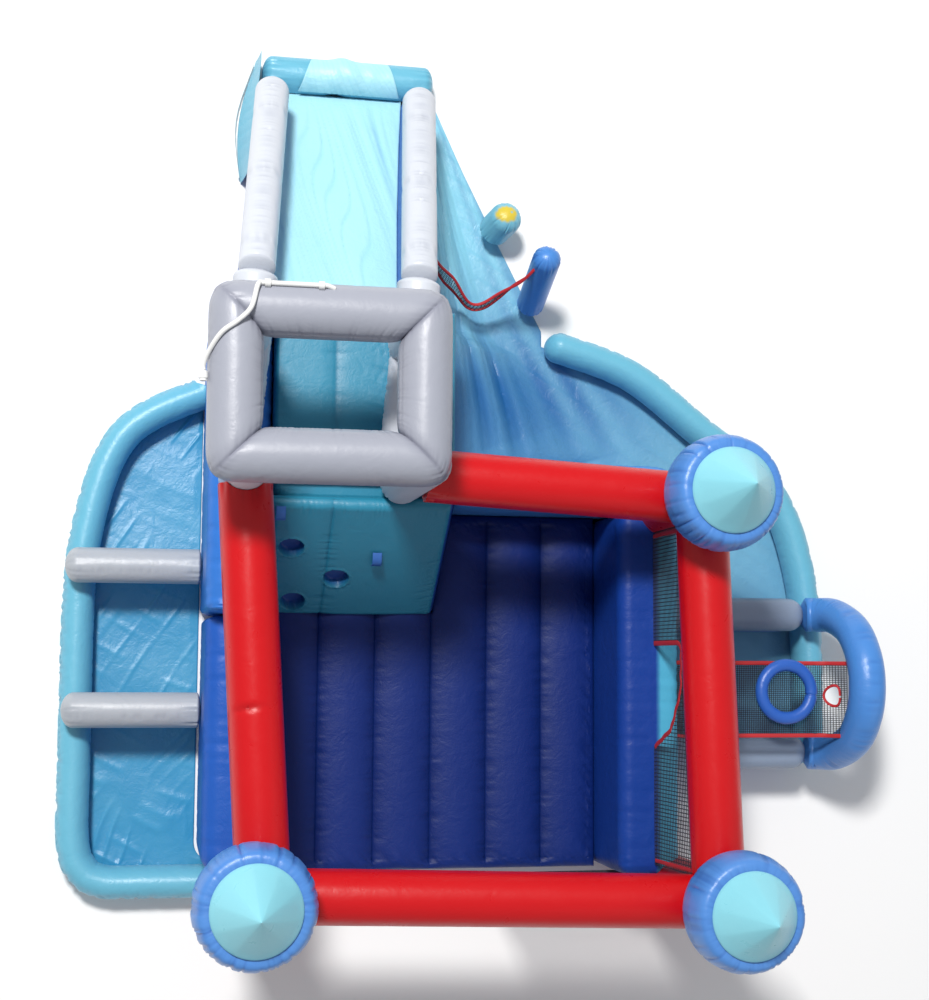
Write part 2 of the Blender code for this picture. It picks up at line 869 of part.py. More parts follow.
def make_slide(rail_cutters, posts):
    """The ramp, its side walls and rails, the bed and the bumper at its foot."""
    for index, (side, (deck, rail)) in enumerate(rail_paths().items()):
        x = deck[0][0]
        deck_rail = drift(tube(side + "_deck_rail", deck, deck_rail_radius, "grey_white"))
        for cutter in posts:
            cut(deck_rail, cutter)
        slope_rail = drift(tube(side + "_rail", rail, rail_radius, "grey_white", (False, True)))
        cut(slope_rail, rail_cutters[index][2])
        top = [(y, rail_height(y)) for y in (slide_foot, slide_top + deck_rail_radius)]
        wall = prism(
            side + "_slide_wall",
            (
                (frame_front + post_radius + 2 * seat, deck_height + gap),
                (slide_top, deck_height + gap),
                (slide_top, 0),
                (slide_foot, 0),
                *top,
                (frame_front + post_radius + 2 * seat, deck_rail_height),
            ),
            x - slide_wall_thickness / 2,
            x + slide_wall_thickness / 2,
            "wall_blue",
        )
        drift(wall)
        air = prism(
            side + "_slide_wall_air",
            (
                (slide_top + skin, skin),
                (slide_foot - skin, skin),
                (slide_foot - skin, rail_foot_height - rail_radius - skin),
                (slide_top + skin, deck_rail_height - deck_rail_radius - 2 * skin),
            ),
            x - slide_wall_thickness / 2 + skin,
            x + slide_wall_thickness / 2 - skin,
            "aqua",
        )
        inner = 1 if side == "left" else -1
        vent_y = slide_top + slide_run / 4
        vent_z = deck_height / 3
        vent = cylinder(
            side + "_slide_wall_vent",
            (x, vent_y, vent_z),
            (x + inner * slide_wall_thickness, vent_y, vent_z),
            skin * 2,
            "aqua",
            8,
        )
        hollow(wall, drift(air), drift(vent))
        for cutter in rail_cutters[index][:2]:
            cut(wall, cutter)
    inner_left = slide_left + slide_wall_thickness / 2 + gap
    inner_right = slide_right - slide_wall_thickness / 2 - gap
    steps = [slide_top + slide_run * row / bed_rows for row in range(bed_rows + 1)]
    surface_line = [(y, bed_height(y)) for y in steps]
    core = drift(
        prism(
            "slide_ramp",
            ((slide_top, 0), *surface_line, (slide_foot, 0)),
            inner_left,
            inner_right,
            "wall_blue",
        )
    )
    core_line = [(y, bed_height(y) - 2 * skin) for y in steps[:-2:3]]
    core_line[0] = (slide_top + skin, core_line[0][1])
    air = prism(
        "slide_ramp_air",
        ((slide_top + skin, skin), *core_line, (steps[-2], skin)),
        inner_left + skin,
        inner_right - skin,
        "aqua",
    )
    middle = (inner_left + inner_right) / 2
    vent = cylinder(
        "slide_ramp_vent",
        (middle, slide_top + 2 * skin, deck_height / 3),
        (middle, slide_top - overrun, deck_height / 3),
        skin * 3,
        "aqua",
        8,
    )
    hollow(core, drift(air), vent)
    make_bed(inner_left, inner_right)
    half = slide_gauge / 2 + bumper_overhang
    middle = slide_middle + drift_at(bumper_y) + bumper_shift
    ends = [(middle - half, bumper_y, bumper_radius), (middle + half, bumper_y, bumper_radius)]
    tube("foot_bumper", ends, bumper_radius, "aqua", (True, True))
    make_flap(middle)
    make_apron(middle - half)


def make_bed(inner_left, inner_right):
    """The slack fabric of the slide, with folds that fan out towards its foot."""

    def place_at(u, v):
        y = slide_top + slide_run * v
        if v == 0:
            y += bed_thickness
        x = inner_left + (inner_right - inner_left) * u
        sway = math.sin(math.pi * (3 * u + 1.4 * v)) * math.sin(math.pi * (1.3 * v + 0.2 + u / 2))
        edge = math.sin(math.pi * min(1, max(0, u))) ** 0.5 * min(1, 6 * (1 - v))
        lift = bed_fold * (0.5 + 0.5 * sway) * edge
        return x + drift_at(y), y, bed_height(y) + bed_thickness * bed_slant + seat + lift

    surface("slide_bed", place_at, 10, bed_rows, bed_thickness, "pale_aqua")


def make_flap(middle):
    """The loose end of the slide's fabric, thrown over the foot bumper."""

    def place_at(u, v):
        angle = math.radians(158 - 112 * v)
        ripple = math.sin(math.pi * 4 * u + 2 * v) * math.sin(math.pi * u) * math.sin(math.pi * v)
        peak = math.exp(-(((u - 0.4) / 0.16) ** 2)) * v
        out = bumper_radius + 2.5 * seat + bed_thickness + flap_fold * (0.4 * ripple**2 + 0.6 * peak)
        x = middle + flap_width * (u - 0.5) * (1 - 0.25 * v)
        return x, bumper_y + out * math.cos(angle), bumper_radius + out * math.sin(angle)

    surface("foot_flap", place_at, 14, 8, bed_thickness, "pale_aqua")


def make_apron(bumper_left):
    """The slack side cloth at the slide's foot, from the left wall and the bumper to the ground."""
    start = bumper_y + bumper_radius - apron_length

    def place_at(u, v):
        y = start + apron_length * u
        wall = min(slide_left - slide_wall_thickness / 2 + drift_at(y), bumper_left) - seat
        reach = apron_reach * math.sin(math.pi * (0.12 + 0.8 * u))
        fall = max(0, v - 0.25) / 0.75
        x = wall - floor_skin - reach * fall**1.4
        z = apron_height * (1 - 0.4 * u) * (1 - fall) + floor_skin * fall
        return x, y, z - apron_height * 0.2 * (v if v < 0.25 else 0.25 * (1 - fall))

    surface("side_apron", place_at, 10, 8, floor_skin, "aqua")


def left_pool_x(share):
    return tower_side_outer - left_pool_reach * share


def left_rim_path():
    """The left pool's rim, from the tower's side round to the front left column."""
    shares = (
        (-0.1, 1.0),
        (0.485, 0.933),
        (0.76, 0.858),
        (0.927, 0.727),
        (1.0, 0.574),
        (1.0, 0.242),
        (0.992, 0.084),
        (0.905, 0.025),
        (0.73, 0.002),
        (0.4, 0.0),
    )
    length = left_pool_rear - left_pool_front
    middle_z = rim_height / 2
    path = [(left_pool_x(x), left_pool_front + length * y, middle_z) for x, y in shares]
    path = smooth_path(path, 2)
    end_x = column_left_x - column_radius / 3
    return [*path, Vector((end_x, left_pool_front, middle_z))]


def make_left_pool(columns):
    """The left splash pool: rim, floor and the two bars that split it in three."""
    side_low = (tower_side_outer - seat, climb_foot, -overrun)
    side_high = (floor_left, deck_back, deck_height)
    side = as_cutter(block("side_cut", side_low, side_high, "aqua"))
    flatten = rim_height / rim_radius / 2
    path = left_rim_path()
    rim = tube("left_pool_rim", path, rim_radius, "aqua", flatten=flatten)
    air_path = [*path[1:-2:2], path[-1] + Vector((rim_radius, 0, 0))]
    inner = tube("left_pool_rim_air", air_path, rim_radius - skin, "aqua", flatten=flatten, sides=8)
    for cutter in (side, columns[0], as_cutter(inner)):
        cut(rim, cutter)
    around = tube("left_rim_cut", path, rim_radius + seat, "aqua", flatten=flatten)
    wall_x = tower_side_outer - seat
    outline = []
    for before, after in zip(path, path[1:]):
        if (before.x < wall_x) != (after.x < wall_x):
            crossing = before.lerp(after, (wall_x - before.x) / (after.x - before.x))
            outline.append((crossing.x, crossing.y))
        if after.x < wall_x:
            outline.append((after.x, after.y))
    floor = plate("left_pool_floor", outline, 0, floor_skin, "pale_aqua")
    cut(floor, as_cutter(around))
    height = rim_height + seat + bar_radius
    end_x = left_pool_x(1) - rim_radius * 0.8
    starts = {
        "left_rear_bar": (tower_side_outer - seat, left_bar_rear_y),
        "left_front_bar": (left_wall_outer - seat, left_bar_front_y),
    }
    for name, (x, y) in starts.items():
        ends = [(x, y, height), (end_x, y, height)]
        bar = tube(name, ends, bar_radius, "grey_white", (False, True))
        air = cylinder(
            name + "_air",
            (x + overrun, y, height),
            (end_x + bar_radius, y, height),
            bar_radius - skin,
            "aqua",
            8,
        )
        cut(bar, as_cutter(air))


def right_rim_path():
    """The right pool's rim, from the loose post round to the front of the goal."""
    shares = (
        (0.301, 1.0),
        (0.526, 0.93),
        (0.717, 0.798),
        (0.86, 0.70),
        (0.938, 0.60),
        (0.985, 0.45),
        (1.0, 0.30),
        (1.0, 0.10),
        (1.0, 0.0),
    )
    width = right_rim_x - tower_right
    length = right_pool_rear - right_pool_front
    return smooth_path(
        [
            (tower_right + width * x, right_pool_front + length * y, rim_height / 2)
            for x, y in shares
        ],
        3,
    )


def make_right_pool():
    """The right splash pool: rim and ground sheet, which rises to the slide and the tower."""
    flatten = rim_height / rim_radius / 2
    path = right_rim_path()
    rim = tube("right_pool_rim", path, rim_radius, "aqua", (True, True), flatten)
    air_radius = rim_radius - skin
    inner = tube("right_rim_air", path[2:-2:2], air_radius, "aqua", flatten=flatten, sides=8)
    cut(rim, as_cutter(inner))
    vent_low = (*path[2].xy, rim_height / 2)
    vent_high = (*path[2].xy, rim_height + overrun)
    vent = cylinder("right_rim_vent", vent_low, vent_high, skin, "aqua", 8)
    cut(rim, as_cutter(vent))
    around = tube("right_rim_cut", path, rim_radius + seat, "aqua", (True, True), flatten)
    columns = 3 * (len(sheet_lines()) - 1)
    sheet = surface("right_pool_sheet", sheet_place, columns, 8, floor_skin, "sheet_blue")
    cut(sheet, as_cutter(around))


def sheet_lines():
    """Pairs of inner and outer places that the ground sheet joins, with its rise at each."""
    face = slide_right + slide_wall_thickness / 2 + sheet_clearance
    tower = tower_right + sheet_clearance
    wall = right_wall_outer + sheet_clearance
    column = column_places()[2][0] + column_radius + sheet_clearance
    back = back_wall_outer + sheet_clearance
    rear = right_pool_rear + rim_radius
    free_y = slide_foot + bumper_radius * 0.75
    path = right_rim_path()

    def on_slide(share):
        y = slide_top + slide_run * share
        return face + drift_at(y), y

    def free_edge(share):
        width = path[0].x - tower_right
        return tower_right + width * share, free_y + (rear - free_y) * share**0.94

    def on_rim(index):
        return path[index].xy

    return (
        (on_slide(0.99), free_edge(0.0), 0.12),
        (on_slide(0.75), free_edge(0.3), 0.45),
        (on_slide(0.5), free_edge(0.58), 0.8),
        (on_slide(0.25), free_edge(0.82), 1.0),
        (on_slide(0.04), free_edge(1.0), 1.0),
        ((tower, slide_top + sheet_clearance), on_rim(0), 1.0),
        ((tower, deck_back - tower_round), on_rim(1), 1.0),
        ((tower, (deck_back + back) / 2), on_rim(2), 1.0),
        ((tower, back), on_rim(4), 0.9),
        (((tower + wall) / 2, back), on_rim(6), 0.0),
        ((wall, back), on_rim(8), 0.0),
        ((column, floor_back + column_radius * 0.8), on_rim(9), 0.0),
        ((column, floor_back - column_radius * 0.8), on_rim(11), 0.0),
        ((wall, floor_back - column_radius * 1.4), on_rim(13), 0.0),
        ((wall, right_bar_rear_y), on_rim(16), 0.0),
        ((wall, right_pool_front), on_rim(-1), 0.0),
    )


def sheet_place(u, v):
    """A place on the ground sheet: u runs along it from the slide's foot, v is across it."""
    lines = sheet_lines()
    where = u * (len(lines) - 1)
    index = min(int(where), len(lines) - 2)
    share = where - index
    before, after = lines[index], lines[index + 1]
    inner = Vector(before[0]).lerp(Vector(after[0]), share)
    outer = Vector(before[1]).lerp(Vector(after[1]), share)
    rise = before[2] + (after[2] - before[2]) * share
    place_at = inner.lerp(outer, v)
    slope = max(0, 1 - v / sheet_flat_share)
    fold = (0.5 + 0.5 * math.sin(2 * math.pi * (9 * u + 0.8 * v))) * math.sin(math.pi * slope) * rise
    lift = sheet_rise * rise * slope**1.7 + sheet_fold * max(0, fold)
    return *place_at, floor_skin + lift


def stadium(middle_y, low, high, radius):
    """An upright outline with round top and bottom."""
    outline = []
    for centre, first in ((high - radius, 0), (low + radius, 180)):
        for step in range(9):
            angle = math.radians(first + step * 22.5)
            outline.append((middle_y + radius * math.cos(angle), centre + radius * math.sin(angle)))
    return outline


def arch_path():
    """The goal's inflated arch, from the end of the rear bar to the end of the front one."""
    bar_end = right_wall_outer + goal_bar_length
    foot = rim_height + seat + arch_radius
    rise = arch_height - foot
    middle = (right_bar_rear_y + right_bar_front_y) / 2
    half = (right_bar_rear_y - right_bar_front_y) / 2
    shares = (
        (-0.25, 1.0, 0.0),
        (0.1, 1.0, 0.0),
        (0.55, 1.0, 0.05),
        (0.9, 0.97, 0.28),
        (1.0, 0.75, 0.68),
        (1.0, 0.38, 0.93),
    )
    rear = [
        (bar_end + arch_reach * x, middle + half * y, foot + rise * z) for x, y, z in shares
    ]
    top = (bar_end + arch_reach, middle, arch_height)
    front = [(x, 2 * middle - y, z) for x, y, z in rear[::-1]]
    return smooth_path([*rear, top, *front], 2)


def make_goal():
    """The goal beside the castle: two bars, an arch, its net and the hoop laced to the net."""
    bar_end = right_wall_outer + goal_bar_length
    low = floor_skin + seat
    for name, y in (("right_rear_bar", right_bar_rear_y), ("right_front_bar", right_bar_front_y)):
        outline = stadium(y, low, right_bar_height, goal_bar_radius)
        bar = prism(name, outline, right_wall_outer + seat, bar_end, "grey_white")
        air_outline = stadium(y, low + skin, right_bar_height - skin, goal_bar_radius - skin)
        air = prism(name + "_air", air_outline, right_wall_outer - overrun, bar_end - skin, "aqua")
        cut(bar, as_cutter(air))
    path = arch_path()
    arch = tube("goal_arch", path, arch_radius, "wall_blue")
    end_low = (right_wall_outer, right_bar_front_y - goal_bar_length, 0)
    end_high = (bar_end + gap, right_bar_rear_y + goal_bar_length, right_bar_height + skin)
    cut(arch, as_cutter(block("bar_end_cut", end_low, end_high, "aqua")))
    cut(arch, as_cutter(tube("goal_arch_air", path[:-4], arch_radius - skin, "aqua", sides=8)))
    arch_cut = as_cutter(tube("arch_cut", path, arch_radius + seat, "aqua"))
    middle = (right_bar_rear_y + right_bar_front_y) / 2
    start_x = right_wall_outer + seat
    end_x = bar_end + arch_reach - arch_radius
    flat_start = start_x + (end_x - start_x) * 0.32
    flat_end = start_x + (end_x - start_x) * 0.93

    def net_place(u, v):
        x = start_x + (end_x + arch_radius * 0.3 - start_x) * u
        y = middle - goal_net_shift + goal_net_width * (v - 0.5)
        if x < flat_start:
            share = (flat_start - x) / (flat_start - start_x)
            return x, y, goal_net_height + (goal_net_wall_height - goal_net_height) * share**2
        share = max(0, (x - flat_end) / (end_x - flat_end))
        return x, y, goal_net_height + (goal_net_end_height - goal_net_height) * share

    net = surface(
        "goal_net", net_place, 8, 3, net_thickness, "net_black", strand=net_strand * 1.5
    )
    cut(net, arch_cut)
    ring_x = start_x + (end_x - start_x) * ring_x_share
    ring_z = goal_net_height + net_thickness / 2 + seat + ring_tube_radius
    bpy.ops.mesh.primitive_torus_add(
        location=(ring_x, middle - goal_net_shift / 2, ring_z),
        major_segments=28,
        minor_segments=12,
        major_radius=ring_radius,
        minor_radius=ring_tube_radius,
    )
    ring = bpy.context.object
    ring.name = "hoop_ring"
    ring.data.materials.append(fabric("hoop_ring", "wall_blue"))
    ring.data.shade_smooth()
    for collection in ring.users_collection:
        collection.objects.unlink(ring)
    parts.objects.link(ring)


def make_castle_nets(columns, beams):
    """Nets between the wall and beam on the right, and on the right half of the front."""
    _, right_front, right_back = column_places()
    foot_x = column_right_x - right_net_inset
    near_x = right_net_inset - net_thickness
    back_near = right_back[0] - foot_x - net_thickness
    back = right_back[1] - math.sqrt((column_radius + seat) ** 2 - back_near**2) - seat
    front = right_front[1] + math.sqrt((column_radius + seat) ** 2 - near_x**2) + seat
    top = beam_height - math.sqrt((beam_radius + seat) ** 2 - near_x**2) - seat
    bottom = wall_height + seat + gap

    def right_place(u, v):
        y = back + (front - back) * u
        share = (y - right_back[1]) / (right_front[1] - right_back[1])
        under_beam = right_back[0] + (right_front[0] - right_back[0]) * share - right_net_inset
        return foot_x + (under_beam - foot_x) * v, y, bottom + (top - bottom) * v

    def right_keep(u, v):
        y = back + (front - back) * u
        away = abs(y - right_net_opening_middle) / (right_net_opening_width / 2)
        return v > 0.75 or away > (1 if v < 0.5 else 0.72)

    surface(
        "right_net", right_place, 12, 4, net_thickness, "net_black", right_keep, net_strand
    )
    net_y = floor_front - front_net_offset
    right = right_front[0] - column_radius + net_thickness
    front_top = beam_height - beam_radius + net_thickness
    left = right - front_net_width
    low = floor_height + front_net_offset

    def front_place(u, v):
        return left + (right - left) * u, net_y, low + (front_top - low) * v

    net = surface("front_net", front_place, 5, 6, net_thickness, "net_black", strand=net_strand)
    cut(net, columns[1])
    cut(net, beams["front_beam"])


def make_loose_posts():
    """Two loose inflated posts on the ground sheet and the limp net tied to one of them."""
    ground_low = (tower_right - tower_width, right_pool_front, -overrun - volley_post_radius)
    ground_high = (right_rim_x, slide_foot + slide_run, floor_skin + seat)
    ground = as_cutter(block("ground_cut", ground_low, ground_high, "aqua"))
    width = right_rim_x - tower_right
    length = slide_foot - right_pool_front
    shares = {
        "volley_post": ((0.2645, 0.6885), (0.25, 0.7377)),
        "stub_post": ((0.152, 0.80), (0.1907, 0.8211)),
    }
    tops = {
        "volley_post": (volley_post_height, volley_post_radius, "wall_blue"),
        "stub_post": (stub_post_height, stub_post_radius, "aqua"),
    }
    for name, (foot, top) in shares.items():
        height, radius, colour = tops[name]
        foot_at = Vector((tower_right + width * foot[0], right_pool_front + length * foot[1], 0))
        top_at = Vector(
            (tower_right + width * top[0], right_pool_front + length * top[1], height)
        )
        below = foot_at - (top_at - foot_at).normalized() * radius
        post = tube(name, [below, top_at], radius, colour, (False, True))
        cut(post, ground)
        air_top = foot_at.lerp(top_at, 1 - (radius + skin) / height)
        air = cylinder(name + "_air", below, air_top, radius - skin, "aqua", 8)
        cut(post, as_cutter(air))
        if name == "volley_post":
            around = cylinder("volley_post_cut", below, top_at, radius + seat, "aqua")
            make_volley_net(foot_at, top_at, as_cutter(around))


def make_volley_net(foot, top, post_cut):
    """A limp strip of net that sags from the slide's side to the loose post."""
    post_at = foot.lerp(top, volley_net_end_share)
    start_y = slide_top + slide_run * 0.29
    start_x = slide_right + slide_wall_thickness / 2 + drift_at(start_y) + 4 * seat
    start = Vector((start_x, start_y, volley_net_start_height))
    sag_shares = ((0.0, 0.0), (0.27, 0.48), (0.5, 0.85), (0.72, 0.62), (1.0, 0.0))
    path = []
    for share, sag in sag_shares:
        drop = Vector((0, -volley_net_sway_reach * sag, -volley_net_sag_depth * sag))
        path.append(start.lerp(post_at, share) + drop)
    path = smooth_path(path, 3)

    def place_at(u, v):
        where = u * (len(path) - 1)
        x, y, z = path[round(where)]
        return x, y, z + volley_net_width * (v - 0.5)

    net = surface(
        "volley_net", place_at, 12, 2, net_thickness, "net_black", strand=net_strand * 0.75
    )
    cut(net, post_cut)


def hose_on_left(y, angle, off):
    """A place round the canopy frame's left tube, angle from the top towards the outside."""
    angle = math.radians(angle)
    return frame_left - off * math.sin(angle), y, frame_height + off * math.cos(angle)


def hose_on_rear(x, angle, off):
    """A place round the canopy frame's rear tube, angle from the top towards the outside."""
    angle = math.radians(angle)
    return x, frame_back + off * math.sin(angle), frame_height + off * math.cos(angle)


def make_hose():
    """The water hose on the canopy frame, its clips and its swivel coupling."""
    near = frame_radius + hose_radius + seat
    start_off = frame_radius + coupling_radius + 2 * seat
    start_y = frame_front + frame_length * hose_start_share
    straight = frame_length * 0.04
    clip_x = [frame_left + frame_width * share for share in clip_shares]
    end_x = frame_left + frame_width * hose_end_share
    bend = frame_width * 0.04
    path = [
        hose_on_left(start_y, 75, start_off),
        hose_on_left(start_y + straight, 75, start_off),
        hose_on_left(start_y + 3 * straight, 62, near + seat),
        hose_on_left(start_y + 6 * straight, 30, near + seat),
        hose_on_left(start_y + 8 * straight, 0, near + seat),
        hose_on_rear(frame_left + bend * 1.6, -10, near + hose_radius),
        hose_on_rear(clip_x[0] - bend * 1.4, 30, near + hose_radius / 2),
        hose_on_rear(clip_x[0] - bend, hose_angle, near),
        hose_on_rear(clip_x[0] - bend * 0.7, hose_angle, near),
        hose_on_rear((clip_x[0] + clip_x[1]) / 2, hose_angle, near),
        hose_on_rear(clip_x[1], hose_angle, near),
        hose_on_rear(end_x - bend, hose_angle, near),
        hose_on_rear(end_x, hose_angle, frame_radius - hose_radius),
    ]
    first = Vector(path[0])
    hose = tube("hose", [first, *smooth_path(path[1:], 2)], hose_radius, "hose_white", sides=8)
    around = frame_ring("hose_frame_cut", frame_radius + seat, "hose_white")
    around = as_cutter(around)
    cut(hose, around)
    for name, x in zip(("left_hose_clip", "right_hose_clip"), clip_x):
        make_clip(name, x, near, around)
    bore = coupling_radius * 0.45
    half = coupling_length / 2
    profile = (
        (0, half),
        (coupling_radius * 0.75, half),
        (coupling_radius, half * 0.8),
        (coupling_radius, -half * 0.5),
        (coupling_radius * 0.8, -half * 0.6),
        (coupling_radius * 0.8, -half),
        (bore, -half),
        (bore, half * 0.2),
        (0, half * 0.2),
    )
    middle = first - Vector((0, half + gap, 0))
    coupling = turned("hose_coupling", profile, middle, "hose_white", 20)
    coupling.rotation_euler[0] = math.radians(-90)


def make_clip(name, x, near, frame_cut):
    """A strap over the hose, welded down on both sides."""
    angle = math.radians(hose_angle)
    out = Vector((math.sin(angle), math.cos(angle)))
    side = Vector((math.cos(angle), -math.sin(angle)))
    centre = Vector((frame_back, frame_height)) + out * near
    inner = hose_radius + 3 * seat
    outer = inner + clip_thickness
    steps = [math.radians(180 * step / 8) for step in range(9)]
    outline = [centre - out * 2 * hose_radius + side * outer]
    outline += [centre + side * outer * math.cos(a) + out * outer * math.sin(a) for a in steps]
    outline += [centre - out * 2 * hose_radius - side * outer]
    outline += [centre - out * 2 * hose_radius - side * inner]
    outline += [
        centre + side * inner * math.cos(a) + out * inner * math.sin(a) for a in steps[::-1]
    ]
    outline += [centre - out * 2 * hose_radius + side * inner]
    clip = prism(name, outline, x - clip_width / 2, x + clip_width / 2, "hose_white")
    cut(clip, frame_cut)


def make_inlet():
    """The sleeve on the right wall that a blower's hose goes into."""
    y = floor_front + floor_length * inlet_share
    z = wall_height * inlet_height_share
    start = (right_wall_outer + seat, y, z)
    end = (right_wall_outer + inlet_length, y, z)
    sleeve = cylinder("blower_inlet_collar", start, end, inlet_radius, "wall_blue")
    before = (right_wall_outer - overrun, y, z)
    after = (right_wall_outer + inlet_length + overrun, y, z)
    bore = cylinder("inlet_bore", before, after, inlet_radius - skin / 2, "wall_blue")
    cut(sleeve, as_cutter(bore))


start_scene()
columns = column_cutters()
rail_cutters = make_rail_cutters()
make_bounce_floor(columns)
make_walls(columns)
make_tower()
make_columns()
posts = make_canopy([pair[0] for pair in rail_cutters])
beams = make_beams(columns, [*posts, rail_cutters[1][0]])
make_slide(rail_cutters, posts)
make_left_pool(columns)
make_right_pool()
make_goal()
make_castle_nets(columns, beams)
make_loose_posts()
make_hose()
make_inlet()
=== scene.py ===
# Inflatable water slide with a bounce castle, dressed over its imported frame. Metres, +Z up.
import math

import bpy
import numpy as np
from mathutils import Matrix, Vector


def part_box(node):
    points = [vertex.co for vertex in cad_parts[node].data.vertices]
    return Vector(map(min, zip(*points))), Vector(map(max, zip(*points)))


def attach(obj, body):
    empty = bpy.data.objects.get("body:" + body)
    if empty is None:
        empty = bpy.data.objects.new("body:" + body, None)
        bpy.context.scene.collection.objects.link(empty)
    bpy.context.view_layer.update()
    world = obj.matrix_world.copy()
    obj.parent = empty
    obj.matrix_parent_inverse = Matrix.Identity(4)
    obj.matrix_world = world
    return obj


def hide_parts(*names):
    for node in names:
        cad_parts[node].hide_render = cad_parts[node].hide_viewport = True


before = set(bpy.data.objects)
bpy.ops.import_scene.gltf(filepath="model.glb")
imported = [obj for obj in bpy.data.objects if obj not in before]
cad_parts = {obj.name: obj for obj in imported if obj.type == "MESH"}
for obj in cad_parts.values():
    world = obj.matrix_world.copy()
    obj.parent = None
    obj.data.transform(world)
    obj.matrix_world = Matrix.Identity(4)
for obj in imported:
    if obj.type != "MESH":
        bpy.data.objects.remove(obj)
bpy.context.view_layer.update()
print("stage: frame loaded")

tau = 2 * math.pi


def turns(count):  # angles once round
    return np.linspace(0, tau, count, endpoint=False)


def crossed(*parts):  # arrays spread against each other, then stacked as coordinates
    return np.stack(np.broadcast_arrays(*parts), -1)


def spread(u, v):  # two rows of places as two grids
    return np.meshgrid(u, v, indexing="ij")


def cornersOf(node):  # a node's box as two arrays
    return (np.array(corner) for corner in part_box(node))


# grids and meshes

def unit(vectors):  # every row made one long
    return vectors / np.maximum(np.linalg.norm(vectors, axis=-1, keepdims=True), 1e-9)


def gridQuads(rows, columns, wrap=False, start=0):
    # four corners of every cell of a grid; wrap joins the last column to the first
    r = np.arange(rows - 1)[:, None]
    c = np.arange(columns if wrap else columns - 1)[None, :]
    nextC = (c + 1) % columns
    corners = (r * columns + c, r * columns + nextC, (r + 1) * columns + nextC, (r + 1) * columns + c)
    return start + crossed(*corners).reshape(-1, 4)


def cellUvs(uvs):
    # the same four corners taken from a grid of places on the cloth
    return np.stack((uvs[:-1, :-1], uvs[:-1, 1:], uvs[1:, 1:], uvs[1:, :-1]), 2).reshape(-1, 4, 2)


def writeMesh(name, points, quads, quadUvs, tris=None, triUvs=None, fold=None, solid=True):
    # one mesh from arrays: faces turned outwards by the sign of the volume they enclose
    tris = np.zeros((0, 3), int) if tris is None else tris
    triUvs = np.zeros((0, 3, 2)) if triUvs is None else triUvs
    if solid:
        halves = np.concatenate([quads[:, [0, 1, 2]], quads[:, [0, 2, 3]], tris])
        a, b, c = (points[halves[:, i]] for i in range(3))
        if np.einsum("ij,ij->i", a, np.cross(b, c)).sum() < 0:
            quads, tris, quadUvs, triUvs = quads[:, ::-1], tris[:, ::-1], quadUvs[:, ::-1], triUvs[:, ::-1]
    mesh = bpy.data.meshes.new(name)
    mesh.vertices.add(len(points))
    mesh.vertices.foreach_set("co", np.ascontiguousarray(points, np.float32).ravel())
    mesh.loops.add(quads.size + tris.size)
    mesh.loops.foreach_set("vertex_index", np.concatenate([quads.ravel(), tris.ravel()]).astype(np.int32))
    mesh.polygons.add(len(quads) + len(tris))
    starts = np.concatenate([np.arange(len(quads)) * 4, quads.size + np.arange(len(tris)) * 3])
    mesh.polygons.foreach_set("loop_start", starts.astype(np.int32))
    mesh.update(calc_edges=True)
    layer = mesh.uv_layers.new(name="cloth")
    layer.uv.foreach_set("vector", np.concatenate([quadUvs.ravel(), triUvs.ravel()]).astype(np.float32))
    # the fold attribute holds crease and dent depth, which the coated cloths paint as shade
    depth = mesh.attributes.new("fold", "FLOAT", "POINT")
    shade = np.zeros(len(points)) if fold is None else fold
    depth.data.foreach_set("value", np.ascontiguousarray(shade, np.float32))
    mesh.validate()
    mesh.shade_smooth()
    return mesh


def shellMesh(name, rings, uvs, fold=None):
    # rings of points joined into a closed skin, each end closed to one point in the ring's middle
    count, around = rings.shape[:2]
    flat = rings.reshape(-1, 3)
    poles = np.stack((rings[0].mean(0), rings[-1].mean(0)))
    points = np.concatenate([flat, poles])
    quads = gridQuads(count, around, wrap=True)
    c = np.arange(around)
    nextC = (c + 1) % around
    first = np.stack((np.full(around, len(flat)), nextC, c), -1)
    last = (count - 1) * around
    final = np.stack((np.full(around, len(flat) + 1), last + c, last + nextC), -1)
    triUvs = np.concatenate([
        np.stack(((uvs[0, :-1] + uvs[0, 1:]) / 2, uvs[0, 1:], uvs[0, :-1]), 1),
        np.stack(((uvs[-1, :-1] + uvs[-1, 1:]) / 2, uvs[-1, :-1], uvs[-1, 1:]), 1),
    ])
    shade = None if fold is None else np.concatenate([fold.ravel(), [fold[0].mean(), fold[-1].mean()]])
    return writeMesh(name, points, quads, cellUvs(uvs), np.concatenate([first, final]), triUvs, shade)


def ringMesh(name, rings, uvs, fold=None):
    # rings joined in a closed loop, such as a hoop
    rows, around = rings.shape[:2]
    quads = gridQuads(rows + 1, around, wrap=True) % (rows * around)
    shade = None if fold is None else fold.ravel()
    return writeMesh(name, rings.reshape(-1, 3), quads, cellUvs(uvs), fold=shade)


